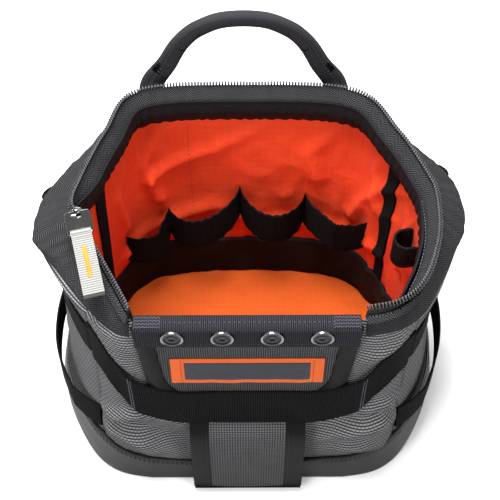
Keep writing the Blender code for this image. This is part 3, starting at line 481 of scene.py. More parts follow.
def rowTree():
    # copies of the piece's own mesh, evenly spaced in a row
    tree, given = newTree("evenRow", (("Count", "NodeSocketInt"), ("Start", "NodeSocketVector"),
                                      ("Offset", "NodeSocketVector"), ("Turn", "NodeSocketRotation")))
    row = addNode(tree, "GeometryNodeMeshLine", {"Count": given["Count"], "Start Location": given["Start"],
                                                 "Offset": given["Offset"]}, mode="OFFSET")
    laid = addNode(tree, "GeometryNodeInstanceOnPoints",
                   {"Points": row.outputs[0], "Instance": given["Geometry"], "Rotation": given["Turn"]})
    real = addNode(tree, "GeometryNodeRealizeInstances", {"Geometry": laid.outputs[0]})
    smooth = addNode(tree, "GeometryNodeSetShadeSmooth", {"Geometry": real.outputs[0]})
    addNode(tree, "NodeGroupOutput", {"Geometry": smooth.outputs[0]})
    return tree


def grow(piece, tree, values):
    # runs a tree on a piece with its inputs set by their identifiers, and keeps the result
    modifier = piece.modifiers.new(tree.name, "NODES")
    modifier.node_group = tree
    named = {item.name: item.identifier for item in tree.interface.items_tree
             if item.item_type == "SOCKET" and item.in_out == "INPUT"}
    for label, value in values.items():
        modifier[named[label]] = value
    settle(piece)
    return piece


threadRun, zipperCoil, evenRow = threadTree(), coilTree(), rowTree()


def linesPiece(name, lines, finish):
    points = np.concatenate(lines)
    edges, start = [], 0
    for line in lines:
        edges.extend((start + i, start + i + 1) for i in range(len(line) - 1))
        start += len(line)
    mesh = bpy.data.meshes.new(name)
    mesh.from_pydata(points.tolist(), edges, [])
    return newPiece(name, mesh, finish)


def sewn(name, lines, look, finish, body="pouch"):
    # a run of stitches along every line
    piece = linesPiece(name, lines, finish)
    grow(piece, threadRun, {"Step": look["step"], "Stitch length": look["stitch"],
                            "Thread radius": look["thread"], "Thread": finish})
    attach(piece, body)
    return piece


def zigzag(start, end, across, half, count):
    # a bar-tack's line between two points
    start, end, across = (np.asarray(v, float) for v in (start, end, across))
    return np.array([start + (end - start) * i / count + across * half * (1 if i % 2 else -1)
                     for i in range(count + 1)])


def tube(name, path, deep, widths, depths, finish, sides=20, square=2.0):
    # a solid strap or cord with a rounded section; deep is the direction of its thickness
    path = np.asarray(path, float)
    tangent = unit(np.gradient(path, axis=0))
    deep = np.broadcast_to(np.asarray(deep, float), path.shape)
    deep = unit(deep - tangent * (deep * tangent).sum(1, keepdims=True))
    wide = np.cross(tangent, deep)
    angles = np.arange(sides) / sides * 2 * math.pi
    cosine, sine = np.cos(angles), np.sin(angles)
    x = np.sign(cosine) * np.abs(cosine) ** (2 / square)
    y = np.sign(sine) * np.abs(sine) ** (2 / square)
    widths = np.broadcast_to(widths, len(path))[:, None, None] / 2
    depths = np.broadcast_to(depths, len(path))[:, None, None] / 2
    points = (path[:, None] + wide[:, None] * widths * x[None, :, None]
              + deep[:, None] * depths * y[None, :, None])
    count = len(path)
    faces = [(i * sides + s, i * sides + (s + 1) % sides, (i + 1) * sides + (s + 1) % sides,
              (i + 1) * sides + s)
             for i in range(count - 1) for s in range(sides)]
    faces.append([s for s in reversed(range(sides))])
    faces.append([(count - 1) * sides + s for s in range(sides)])
    mesh = bpy.data.meshes.new(name)
    mesh.from_pydata(points.reshape(-1, 3).tolist(), [], faces)
    lengths = np.concatenate(([0], np.cumsum(np.linalg.norm(np.diff(path, axis=0), axis=1))))
    girth = np.linalg.norm(np.roll(points, -1, axis=1) - points, axis=-1).mean(0).cumsum()
    layer = mesh.uv_layers.new(name="clothUv")
    for loop in mesh.loops:
        layer.data[loop.index].uv = (lengths[loop.vertex_index // sides], girth[loop.vertex_index % sides])
    mesh.shade_smooth()
    return newPiece(name, mesh, finish)


def dress(piece, slot, *nodes, body="pouch"):
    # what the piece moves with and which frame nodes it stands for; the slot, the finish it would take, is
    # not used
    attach(piece, body)
    if nodes:
        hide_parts(*nodes)
    return piece


# materials: patterns are drawn in metres along and up each cloth, and a pitch is the real spacing of ribs or
# threads, or the finest that the picture can show

def calc(tree, operation, *values):
    return addNode(tree, "ShaderNodeMath", dict(enumerate(values)), operation=operation).outputs[0]


def wave(tree, value):
    # one rounded ridge for each unit
    return calc(tree, "ABSOLUTE", calc(tree, "SINE", calc(tree, "MULTIPLY", value, math.pi)))


def brickWeave(tree, across, up):
    # level ribs, each one a row of short floats that are set off by half against the next row
    row = calc(tree, "FLOOR", up)
    setOff = calc(tree, "MULTIPLY_ADD", row, 0.5, across)
    floats = calc(tree, "SQRT", wave(tree, setOff))
    return calc(tree, "MULTIPLY", wave(tree, up), calc(tree, "MULTIPLY_ADD", floats, 0.55, 0.45))


def beadWeave(tree, across, up):
    # plain weave whose crossings read as rows of beads
    return calc(tree, "SQRT", calc(tree, "MULTIPLY", wave(tree, across), wave(tree, up)))


def ribWeave(tree, across, up):
    # round ribs with the finer crossing threads between them
    fine = wave(tree, calc(tree, "MULTIPLY", up, 1.9))
    return calc(tree, "MULTIPLY", wave(tree, across), calc(tree, "MULTIPLY_ADD", fine, 0.3, 0.7))


def herringbone(tree, across, up):
    # slanting threads that turn back every few ribs
    slant = calc(tree, "ADD", up, calc(tree, "PINGPONG", across, 3.0))
    return wave(tree, slant)


def twill(tree, across, up):
    return wave(tree, calc(tree, "ADD", across, up))


def ripstop(tree, across, up):
    # a fine plain weave with a heavier thread at every tenth place
    fine = calc(tree, "MULTIPLY", wave(tree, across), wave(tree, up))
    heavy = [calc(tree, "POWER", wave(tree, calc(tree, "MULTIPLY", value, 0.1)), 0.05)
             for value in (across, up)]
    lines = calc(tree, "SUBTRACT", 1.0, calc(tree, "MULTIPLY", *heavy))
    return calc(tree, "MULTIPLY_ADD", lines, 0.35, calc(tree, "MULTIPLY_ADD", fine, 0.4, 0.3))


def clothMaterial(name, look):
    # woven cloth from its dictionary: weave, pitch, colours for the weave's shaded hollows and lit crowns,
    # bump depth and soft creases
    made = bpy.data.materials.new(name)
    made.use_nodes = True
    tree = made.node_tree
    shader = tree.nodes["Principled BSDF"]
    if look.get("solid"):
        place = addNode(tree, "ShaderNodeTexCoord").outputs["Object"]
    else:
        place = addNode(tree, "ShaderNodeUVMap", uv_map="clothUv").outputs[0]
    scaled = addNode(tree, "ShaderNodeMapping", {"Vector": place, "Scale": (1 / look["pitch"],) * 3,
                                                 "Rotation": (0, 0, math.radians(look.get("turn", 0)))})
    split = addNode(tree, "ShaderNodeSeparateXYZ", {0: scaled.outputs[0]})
    height = calc(tree, "POWER", look["weave"](tree, split.outputs[0], split.outputs[1]),
                  look.get("sharp", 1.0))
    where = addNode(tree, "ShaderNodeTexCoord").outputs["Object"]
    patchy = addNode(tree, "ShaderNodeTexNoise",
                     {"Vector": where, "Scale": look.get("patch", 55), "Detail": 3.0, "Roughness": 0.55})
    fuzz = addNode(tree, "ShaderNodeTexNoise", {"Vector": where, "Scale": 2600, "Detail": 2.0})
    uneven = calc(tree, "MULTIPLY_ADD", patchy.outputs[0], look.get("mottle", 0.25),
                  1 - look.get("mottle", 0.25) / 2)
    grain = calc(tree, "MULTIPLY_ADD", fuzz.outputs[0], look.get("fuzz", 0.3), 1 - look.get("fuzz", 0.3) / 2)
    # the weave's height sets the colour: painted shade in the hollows between threads and a painted
    # highlight on their crowns, mottled at random
    share = calc(tree, "MULTIPLY", calc(tree, "MULTIPLY", height, uneven), grain)
    colour = addNode(tree, "ShaderNodeMix",
                     {0: share, 6: linearColour(look["dark"]), 7: linearColour(look["light"])},
                     data_type="RGBA")
    tree.links.new(colour.outputs[2], shader.inputs["Base Color"])
    creases = addNode(tree, "ShaderNodeTexNoise", {"Vector": where, "Scale": look.get("creaseScale", 70),
                                                   "Detail": 4.0, "Roughness": 0.6})
    soft = addNode(tree, "ShaderNodeBump",
                   {"Height": creases.outputs[0], "Distance": look.get("creases", 0.0006), "Strength": 1.0})
    threads = addNode(tree, "ShaderNodeBump", {"Height": height, "Distance": look["depth"], "Strength": 1.0,
                                               "Normal": soft.outputs[0]})
    tree.links.new(threads.outputs[0], shader.inputs["Normal"])
    shader.inputs["Roughness"].default_value = look["roughness"]
    shader.inputs["Sheen Weight"].default_value = look.get("sheen", 0.0)
    shader.inputs["Sheen Roughness"].default_value = 0.4
    shader.inputs["Specular IOR Level"].default_value = look.get("gloss", 0.35)
    return made


def plainMaterial(name, look):
    # moulded, plated or painted surfaces: fine grain in bump and roughness, and lighter worn patches
    made = bpy.data.materials.new(name)
    made.use_nodes = True
    tree = made.node_tree
    shader = tree.nodes["Principled BSDF"]
    where = addNode(tree, "ShaderNodeTexCoord").outputs["Object"]
    wear = addNode(tree, "ShaderNodeTexNoise",
                   {"Vector": where, "Scale": look.get("patch", 90), "Detail": 4.0})
    grain = addNode(tree, "ShaderNodeTexNoise",
                    {"Vector": where, "Scale": look.get("grain", 1500), "Detail": 2.0})
    colour = addNode(tree, "ShaderNodeMix", {0: wear.outputs[0], 6: linearColour(look["dark"]),
                                             7: linearColour(look["light"])}, data_type="RGBA")
    tree.links.new(colour.outputs[2], shader.inputs["Base Color"])
    rough = calc(tree, "MULTIPLY_ADD", wear.outputs[0], look.get("wear", 0.1), look["roughness"])
    tree.links.new(rough, shader.inputs["Roughness"])
    bump = addNode(tree, "ShaderNodeBump",
                   {"Height": grain.outputs[0], "Distance": look.get("depth", 0.00005), "Strength": 1.0})
    tree.links.new(bump.outputs[0], shader.inputs["Normal"])
    shader.inputs["Metallic"].default_value = look.get("metallic", 0.0)
    shader.inputs["Specular IOR Level"].default_value = look.get("gloss", 0.5)
    shader.inputs["Coat Weight"].default_value = look.get("coat", 0.0)
    return made


# ballistic nylon, woven: level grey ribs of short floats, drawn as coarse as the picture needs to show them
greyWeave = clothMaterial("ballisticNylon", {
    "weave": brickWeave, "pitch": 0.0024, "dark": "#0a0a0b", "light": "#9a9a9c", "depth": 0.0007,
    "sharp": 1.5, "roughness": 0.75, "mottle": 0.35, "creases": 0.0010, "creaseScale": 26, "gloss": 0.06})
# the same nylon on the front panel, where its finer ribs stand upright, in a darker copy: painted shade, as
# the front gets less light
panelWeave = clothMaterial("panelNylon", {
    "weave": brickWeave, "pitch": 0.00140, "dark": "#09090a", "light": "#666668", "depth": 0.0005,
    "turn": 90, "roughness": 0.75, "mottle": 0.35, "creases": 0.0006, "creaseScale": 30, "gloss": 0.06,
    "sharp": 1.3})
# the same nylon on the belt tunnel, where it reads as rows of beads, in a darker copy: painted shade of the
# lower front
tunnelWeave = clothMaterial("tunnelNylon", {
    "weave": beadWeave, "pitch": 0.0018, "dark": "#0c0c0d", "light": "#6c6c6e", "depth": 0.0006,
    "sharp": 1.2, "roughness": 0.75, "mottle": 0.35, "creases": 0.0010, "creaseScale": 35, "gloss": 0.06})
# heavy ribbed polyester webbing: nearly black, and only its ribs catch a little light
blackWebbing = clothMaterial("ribbedWebbing", {
    "weave": ribWeave, "pitch": 0.0015, "dark": "#020202", "light": "#222224", "depth": 0.0005,
    "roughness": 0.8, "mottle": 0.5, "creases": 0.0005, "gloss": 0.02})
# the same webbing with its ribs across the strap's height
levelWebbing = clothMaterial("levelRibbedWebbing", {
    "weave": ribWeave, "pitch": 0.00125, "dark": "#040405", "light": "#34343a", "depth": 0.0004, "turn": 90,
    "roughness": 0.75, "mottle": 0.4, "creases": 0.0005, "gloss": 0.05})
# satin-woven binding tape: dark and smooth, with soft creases
bindingTape = clothMaterial("bindingTape", {
    "weave": twill, "pitch": 0.00080, "dark": "#020203", "light": "#131314", "depth": 0.00012,
    "roughness": 0.55, "mottle": 0.3, "creases": 0.0010, "creaseScale": 55, "gloss": 0.06})
# twilled tape round the handle, coarser and greyed by wear
handleTape = clothMaterial("handleTape", {
    "weave": twill, "pitch": 0.0013, "dark": "#050506", "light": "#3c3c40", "depth": 0.0004,
    "roughness": 0.7, "mottle": 0.4, "creases": 0.0012, "creaseScale": 60, "gloss": 0.05})
# herringbone tape of the rim: dull slanting threads that turn back every few ribs
herringboneTape = clothMaterial("herringboneTape", {
    "weave": herringbone, "pitch": 0.0017, "dark": "#050506", "light": "#454547", "depth": 0.0006,
    "sharp": 1.3, "roughness": 0.75, "mottle": 0.5, "creases": 0.0014, "creaseScale": 45, "gloss": 0.03})
# thin twilled polyester of the facing and the lower band: dark and much creased, with a slight shine
facingCloth = clothMaterial("facingCloth", {
    "weave": twill, "pitch": 0.0009, "dark": "#040404", "light": "#1c1b1e", "depth": 0.00015,
    "roughness": 0.6, "mottle": 0.4, "creases": 0.0018, "creaseScale": 60, "gloss": 0.08})
# ripstop polyester lining: bright orange, with a fine raised grid and soft folds
orangeLining = clothMaterial("orangeLining", {
    "weave": ripstop, "pitch": 0.00055, "dark": "#b8280a", "light": "#ff5a34", "depth": 0.00012,
    "roughness": 0.62, "sheen": 0.03, "mottle": 0.2, "creases": 0.0022, "creaseScale": 34, "fuzz": 0.15,
    "gloss": 0.12})
# the same ripstop on the floor, in a darker and yellower copy
orangeFloor = clothMaterial("orangeFloor", {
    "weave": ripstop, "pitch": 0.00055, "dark": "#a63a0c", "light": "#d2601f", "depth": 0.00012,
    "roughness": 0.6, "sheen": 0.03, "mottle": 0.3, "creases": 0.0016, "creaseScale": 30, "fuzz": 0.2,
    "gloss": 0.12})
# woven label tape: a flat orange border
labelBorder = clothMaterial("labelBorder", {
    "weave": twill, "pitch": 0.0005, "dark": "#be4a14", "light": "#fb7232", "depth": 0.00006,
    "roughness": 0.6, "sheen": 0.1, "mottle": 0.15, "creases": 0.0003, "gloss": 0.15})
# the label's field, close-woven slate satin
labelField = clothMaterial("labelField", {
    "weave": twill, "pitch": 0.0006, "dark": "#14151b", "light": "#34363f", "depth": 0.00006,
    "roughness": 0.5, "mottle": 0.3, "creases": 0.0008, "gloss": 0.12})
# undyed ribbed webbing of the pull tab: the one pale piece
paleWebbing = clothMaterial("palePullWebbing", {
    "weave": ribWeave, "pitch": 0.0016, "dark": "#5a5a56", "light": "#9c9c98", "depth": 0.0004,
    "roughness": 0.7, "sheen": 0.1, "mottle": 0.2, "creases": 0.0003, "gloss": 0.15})
# moulded rubber of the boot: dark, with a broad soft shine
bootSatin = plainMaterial("bootSatin", {"dark": "#121213", "light": "#1c1c1e", "roughness": 0.46,
                                        "depth": 0.00015, "grain": 900, "patch": 30, "gloss": 0.14})
# polypropylene sheet of the floor board: plain dull black
boardPlastic = plainMaterial("boardPlastic", {"dark": "#101011", "light": "#1c1c1d", "roughness": 0.6})
# rolled spring steel of the mouth stays: bright grey
springSteel = plainMaterial("springSteel", {"dark": "#8a8a8c", "light": "#b6b6b8", "roughness": 0.3,
                                            "metallic": 1.0})
# drawn nylon of the zipper coil: smooth and dark, each turn with its own highlight
coilNylon = plainMaterial("coilNylon", {"dark": "#08080a", "light": "#1a1a1c", "roughness": 0.25})
# black plating on cast zinc: nearly a mirror under its clear coat
glossBlack = plainMaterial("glossBlackPlating", {"dark": "#020203", "light": "#060607", "roughness": 0.10,
                                                 "metallic": 0.2, "coat": 1.0, "wear": 0.06})
# gunmetal plating on stamped brass: a dark mirror, worn lighter in places
gunmetal = plainMaterial("gunmetalPlating", {"dark": "#48484c", "light": "#78787c", "roughness": 0.14,
                                             "metallic": 1.0, "wear": 0.12})
# the rivets' blackened dishes
rivetDish = plainMaterial("rivetDish", {"dark": "#08080a", "light": "#1a1a1c", "roughness": 0.22,
                                        "metallic": 1.0})
# nickel-plated steel wire: bright, and it mirrors the lining
ringSteel = plainMaterial("platedWire", {"dark": "#9a9a9c", "light": "#d6d6d8", "roughness": 0.12,
                                         "metallic": 1.0})
# spun polyester sewing threads: matt, in the colours that show on each seam
paleThread = plainMaterial("paleThread", {"dark": "#6b6774", "light": "#97939e", "roughness": 0.6,
                                          "gloss": 0.2})
# the grey thread's finish also paints the highlights on the zipper coil and on the top webbing's ribs
greyThreadAndHighlights = plainMaterial("greyThreadAndHighlights", {"dark": "#3e3c42", "light": "#66636c", "roughness": 0.6,
                                          "gloss": 0.1})
dullThread = plainMaterial("dullThread", {"dark": "#262628", "light": "#3c3c3e", "roughness": 0.6,
                                          "gloss": 0.2})
rustThread = plainMaterial("rustThread", {"dark": "#8a280a", "light": "#b03a14", "roughness": 0.6})
redThread = plainMaterial("redThread", {"dark": "#5a1206", "light": "#a02c10", "roughness": 0.6})
amberThread = plainMaterial("amberThread", {"dark": "#e0700c", "light": "#ff9a30", "roughness": 0.55})
print("materials made:", len(bpy.data.materials))


# padded body: the outer cloth, pinched at its seams and under its bands

# how far the padding swells beside each seam, between which heights, and how much is left above the bands
padding = {"corner": 0.0024, "side": 0.0042, "back": 0.0015, "crumple": 0.0019, "pinch": 0.0006,
           "pinchWidth": 0.10, "foot": 0.030, "foldFoot": 0.024, "foldReach": 1.6, "cornerReach": 0.4,
           "aboveBelt": 0.6, "aboveBand": 0.25, "bandGap": (0.165, 0.184), "backTop": 0.160,
           "shoulderRise": 0.0022, "seamGap": 0.012}


def hump(value, low, high):
    # nothing at both ends, full in between, with round shoulders
    return np.sqrt(np.sin(math.pi * np.clip((value - low) / (high - low), 0, 1)).clip(0))


def beltFoot(place):
    shares = smoothTable(range(7), pouch["beltRiseShares"], np.abs(signedPlace(place)))
    return pouch["beltLow"] + pouch["beltRise"] * shares


# folds of the front body: a line of (place, height) points, how far the fold stands out, and its half width
folds = (
    (((-5.9, 0.085), (-4.55, 0.084), (-3.20, 0.094), (-2.50, 0.092), (-1.55, 0.077)), 0.0062, 0.0071),
    (((-5.6, 0.060), (-4.15, 0.064), (-3.25, 0.056), (-2.65, 0.045), (-1.80, 0.030)), 0.0070, 0.0095),
    (((-4.9, 0.072), (-3.20, 0.075), (-2.20, 0.064)), -0.0030, 0.0071),
    (((2.60, 0.101), (3.60, 0.098), (5.80, 0.102)), 0.0057, 0.0062),
    (((1.90, 0.062), (3.20, 0.074), (4.60, 0.076), (5.90, 0.070)), 0.0068, 0.0081),
    (((1.75, 0.044), (3.10, 0.046), (5.90, 0.036)), 0.0046, 0.0076),
    (((2.40, 0.085), (3.60, 0.087), (5.20, 0.086)), -0.0027, 0.0062),
    (((2.90, 0.158), (4.05, 0.166), (5.20, 0.170)), 0.0030, 0.0062),
    (((-5.4, 0.168), (-4.2, 0.158), (-3.1, 0.146)), 0.0035, 0.0071),
)
placeStep = 0.0155   # metres from one place to the next, near enough for the folds


def foldLift(place, height, lines=folds):
    # the folds' height at each point, from its distance to every fold's line
    where = np.stack(np.broadcast_arrays(place * placeStep, height), -1)
    total = np.zeros(where.shape[:-1])
    for line, tall, width in lines:
        nearest = np.full(total.shape, 1.0)
        line = np.array(line) * (placeStep, 1)
        for start, end in zip(line, line[1:]):
            run = end - start
            share = np.clip(((where - start) @ run) / (run @ run), 0, 1)
            nearest = np.minimum(nearest, np.linalg.norm(where - start - share[..., None] * run, axis=-1))
        total += tall * np.exp(-(nearest / width) ** 2)
    return total


def bodyLift(place, height):
    # how far the cloth stands off the drawn-in wall: padding, folds, creases, and a pinch at each seam
    place, height = np.broadcast_arrays(np.asarray(place, float), np.asarray(height, float))
    away = np.abs(signedPlace(place))
    foot = beltFoot(place)
    low = padding["foot"]
    nearPanel = hump(away, frontCorner - padding["cornerReach"], sideSeam)
    aboveBelt = hump(height, foot + pouch["beltWidth"], pouch["shoulder"])
    belowBelt = (height < foot) * hump(height, padding["foldFoot"], foot + 0.004)
    free = hump(away, frontCorner - padding["foldReach"], sideSeam) * belowBelt + nearPanel * aboveBelt
    corner = nearPanel * (hump(height, low, foot + 0.001) + padding["aboveBelt"] * aboveBelt)
    side = hump(away, sideSeam, backCorner) * (hump(height, low, pouch["upperBandLow"] + 0.002)
                                               + padding["aboveBand"] * hump(height, *padding["bandGap"]))
    back = hump(away, backCorner, places - backCorner) * hump(height, low, padding["backTop"])
    full = corner * padding["corner"] + side * padding["side"] + back * padding["back"]
    seam = np.minimum(np.abs(away - sideSeam), np.abs(away - backCorner))
    full = full - padding["pinch"] * np.exp(-(seam / padding["pinchWidth"]) ** 2)
    full = full + free * foldLift(signedPlace(place), height)
    points = outer(place, height, 0)
    return full + padding["crumple"] * (corner + side + back) * crumple(points, (26, 26, 34), 3.1)


def overShoulder(columns, shares, up):
    # the rolled slope from the outer wall's top to the mouth
    shares = np.atleast_1d(shares)[None, :, None]
    edge = outer(columns, pouch["shoulder"], 0)[:, None]
    rim = inner(columns, pouch["mouthHeight"], 0)[:, None]
    rise = padding["shoulderRise"] * np.sin(math.pi * shares) + up
    return edge * (1 - shares) + rim * shares + (0, 0, 1) * rise


def bodyPanel(name, first, last, node):
    seamGap = padding["seamGap"]
    columns = spread(first + seamGap, last - seamGap, int((last - first) * 7))
    place, low = gridOf(columns, spread(footLevel, pouch["shoulder"], 64))
    slope = overShoulder(columns, spread(0, 1, 11)[1:], 0)
    face = np.concatenate((outer(place, low, bodyLift(place, low)), slope), 1)
    place, high = gridOf(columns, spread(footLevel, pouch["mouthHeight"], face.shape[1]))
    panel = loft(name, face, inner(place, high, 0), greyWeave, edge=0)
    return dress(panel, "grey_weave", node)


bodyPanel("frontBody", -sideSeam, sideSeam, "front_body_panel")
bodyPanel("rightSide", sideSeam, backCorner, "right_side_panel")
bodyPanel("backBody", backCorner, places - backCorner, "back_panel")
bodyPanel("leftSide", places - backCorner, places - sideSeam, "left_side_panel")
print("body panels made")


# boot: one moulded shell and its sole

boot = {"fit": 0.0010, "wall": 0.0025, "round": 0.003, "thinTop": 0.0004, "sway": 0.0005,
        "soleLevel": 0.0004, "soleCloth": 0.0022,
        "rows": {"bootStitchesHigh": 0.0030, "bootStitchesLow": 0.0052}}


def bootTop(place):
    return pouch["bootHeight"] * smoothTable(range(9), pouch["bootTop"], stationOf(place))


def makeBoot():
    columns = np.arange(places * 6) / 6
    outside = boot["fit"] + boot["wall"]
    # the foot's rounded edge, from the ground up, and then the wall
    turn = np.linspace(math.pi / 2, 0, 6)
    shares = spread(0.1, 1, 14)
    top = bootTop(columns)
    heights = [np.full(len(columns), boot["round"] * (1 - math.sin(a))) for a in turn]
    heights += [boot["round"] + (top - boot["round"]) * share for share in shares]
    lifts = [outside - boot["round"] * (1 - math.cos(a)) for a in turn]
    lifts += [outside] * (len(shares) - 1) + [outside - boot["thinTop"]]
    heights = np.stack(heights, 1)
    sway = boot["sway"] * crumple(outer(columns[:, None], heights, 0), (16, 16, 22), 8.3)
    lifts = np.array(lifts)[None] + sway * np.clip(heights / 0.02, 0, 1)
    outFace = outer(columns[:, None], heights, lifts)
    inFace = outer(columns[:, None], np.clip(heights, 0.0008, 1), boot["fit"])
    shell = loft("bootShell", outFace, inFace, bootSatin, closed=True, edge=0.0005)
    dress(shell, "boot_plastic", "base_boot")
    for name, below in boot["rows"].items():
        line = outer(columns[:, None], (top - below)[:, None], outside + 0.0003)[:, 0]
        sewn(name, [line], {"step": 0.0034, "stitch": 0.0024, "thread": 0.00028}, dullThread)
    outline = outer(columns, 0.001, boot["fit"] - 0.0002)[:, :2]
    sole = patch("bootSole", outline, boot["soleCloth"], 0, laidAt(boot["soleLevel"]), bootSatin, rings=3)
    dress(sole, "boot_plastic")


makeBoot()
# the board and the stays are shown as they come in the frame
hidden = {"floor_board": boardPlastic, "mouth_stay_front": springSteel, "mouth_stay_rear": springSteel}
for node, finish in hidden.items():
    frame["nodes"][node].data.materials.clear()
    frame["nodes"][node].data.materials.append(finish)
print("boot made")


# lining: floor, wall and the black band round its foot

lining = {"wallOut": 0.0006, "cloth": 0.0012, "bandOut": 0.0021, "bandCloth": 0.0015, "floor": 0.0066,
          "wrinkle": 0.0030, "bandWrinkle": 0.0026, "looseTop": 0.163, "looseRise": 0.018,
          "dropBeside": 0.020, "wallGirth": 0.100, "bandGirth": 0.030,
          "seams": {"liningSeamRight": 18.1, "liningSeamLeft": 25.6}, "seamRows": (0.060, 0.178)}


def ringLength(height, lift):
    # once round the inside
    around = inner(np.arange(samples) / samples * places, height, lift)
    return float(np.linalg.norm(np.roll(around, -1, axis=0) - around, axis=1).sum())


# folds of the lining round the back, in the same form as the body's
liningFolds = (
    (((16.2, 0.172), (18.1, 0.150), (19.6, 0.118), (20.4, 0.092)), 0.0059, 0.0046),
    (((14.4, 0.168), (15.3, 0.140), (15.0, 0.098)), 0.0056, 0.0048),
    (((12.4, 0.160), (13.1, 0.130), (12.7, 0.090)), 0.0053, 0.0048),
    (((18.9, 0.174), (19.2, 0.152), (18.4, 0.124)), 0.0053, 0.0040),
    (((21.4, 0.176), (22.3, 0.146), (22.0, 0.122)), 0.0059, 0.0049),
    (((23.6, 0.174), (24.9, 0.150), (27.2, 0.126)), 0.0063, 0.0046),
    (((26.4, 0.172), (27.3, 0.140), (26.8, 0.104)), 0.0059, 0.0049),
    (((28.6, 0.170), (30.0, 0.142), (29.3, 0.100)), 0.0063, 0.0053),
    (((32.6, 0.166), (33.2, 0.130), (32.9, 0.088)), 0.0059, 0.0053),
    (((17.4, 0.082), (19.6, 0.072), (22.5, 0.070), (24.6, 0.078)), 0.0046, 0.0053),
    (((24.9, 0.090), (26.9, 0.074), (29.6, 0.066)), 0.0049, 0.0053),
    (((9.2, 0.150), (10.4, 0.118), (9.9, 0.082)), 0.0053, 0.0051),
)


def liningSag(place, height):
    # the lining hangs loose between its top seam and its foot
    points = inner(place, height, 0)
    broad = 1 - 2.4 * np.abs(crumple(points, (15, 15, 7), 5.7)).clip(0, 0.42)
    fine = crumple(points, (60, 60, 34), 1.9)
    # under the front panel's folded webbing it lies flat sooner than round the rest of the mouth
    past = smoothStep(np.abs(signedPlace(place)), frontCorner, frontCorner + 2)
    loose = np.clip(0.10 + 0.95 * broad ** 3 + 0.16 * fine, 0, 1.4)
    deep = lining["wrinkle"] * loose + foldLift(np.mod(place, places), height, liningFolds)
    return hump(height, 0.002, lining["looseTop"] + lining["looseRise"] * past) * deep


def makeLining():
    columns = np.arange(places * 7) / 7
    place, height = gridOf(columns, spread(pouch["liningFoot"], pouch["liningTop"], 60))
    # beside the front panel its top edge sits lower, under the folded webbing
    beside = smoothStep(np.abs(signedPlace(place)), frontCorner - 0.2, frontCorner + 1.6)
    height = height - lining["dropBeside"] * (1 - beside) * smoothStep(height, 0.120, pouch["liningTop"])
    back = -lining["wallOut"]
    face = back - lining["cloth"] - liningSag(place, height)
    wall = loft("liningWall", inner(place, height, back), inner(place, height, face), orangeLining,
                closed=True, edge=0)
    dress(wall, "orange_cloth", "lining_wall")
    heights = spread(*lining["seamRows"], 60)
    for name, at in lining["seams"].items():
        at = np.full(60, at)
        line = inner(at, heights, back - lining["cloth"] - liningSag(at, heights) - 0.0002)
        sewn(name, [line], {"step": 0.0032, "stitch": 0.0022, "thread": 0.00028}, redThread)
    ringLength(lining["wallGirth"], back)
    columns = np.arange(places * 4) / 4
    outline = inner(columns, lining["floor"], -0.0010)[:, :2]
    floor = patch("liningFloor", outline, lining["cloth"], 0.0002, laidAt(lining["floor"]), orangeFloor,
                  rings=12)
    dress(floor, "orange_cloth", "lining_floor")


makeLining()
print("lining made")


def makeLowerBand():
    columns = np.arange(places * 7) / 7
    place, height = gridOf(columns, spread(pouch["liningFoot"], pouch["innerBandTop"], 18))
    points = inner(place, height, 0)
    wrinkle = lining["bandWrinkle"] * np.clip(0.5 + crumple(points, (50, 50, 30), 7.7), 0, 1.3)
    # the band lies over the lining's own folds
    under = -lining["bandOut"] - liningSag(place, height)
    band = loft("lowerInnerBand", inner(place, height, under),
                inner(place, height, under - lining["bandCloth"] - wrinkle * hump(height, 0.004, 0.056)),
                facingCloth, closed=True, edge=0)
    dress(band, "black_webbing", "lower_inner_band")
    girth = ringLength(lining["bandGirth"], -lining["bandOut"])


makeLowerBand()


# mouth: facing, collar, zipper tape and coil

mouth = {"facingLow": 0.1805, "facingTop": 0.203, "facingOut": 0.0021, "facingCloth": 0.0015,
         "gather": 0.0016, "gatherLength": 0.0085, "gatherRows": (0.170, 0.200), "lean": 0.0075,
         "leanPlaces": (3.6, 6.6, 32.4, 35.1), "leanRows": (0.176, 0.194), "tapeLow": 0.1970,
         "tapeHigh": 0.2086, "tapeFit": 0.0004, "tapeCloth": 0.0010, "chainHeight": 0.0031,
         "coilPitch": 0.0021, "coilWidth": 0.0034, "coilHighlightSize": 0.0014}
# the collar runs from its foot, up the wall or over the slope, to the mouth
collar = {"cloth": 0.0017, "foot": 0.1656, "bend": 0.1850, "crest": 0.1858, "crestJoin": (0.1930, 0.1965),
          "underJoin": (0.1905, 0.1935), "mouthRows": (0.2010, 0.2042), "underRows": (0.2000, 0.2042),
          "slopeShares": (0.12, 0.26, 0.46, 0.72), "slopeLifts": (0.0010, 0.0024, 0.0028, 0.0028),
          "slopeUnder": 0.0002, "widePlaces": (7.5, 12.0), "swell": 0.0017, "fineSwell": 0.0008,
          "sag": 0.0013}


def leanAt(place):
    # the tape and the facing lean inwards round the mouth, and stand upright near the front panel
    start, full, end, upright = mouth["leanPlaces"]
    arriving, leaving = (place - start) / (full - start), (upright - place) / (upright - end)
    return mouth["lean"] * np.clip(np.minimum(arriving, leaving), 0, 1)


def mouthColumns(perPlace=7):
    # round the mouth from one end of the front panel to the other
    count = (places - 2 * frontCorner) * perPlace
    return spread(frontCorner + 0.04, places - frontCorner - 0.04, count)


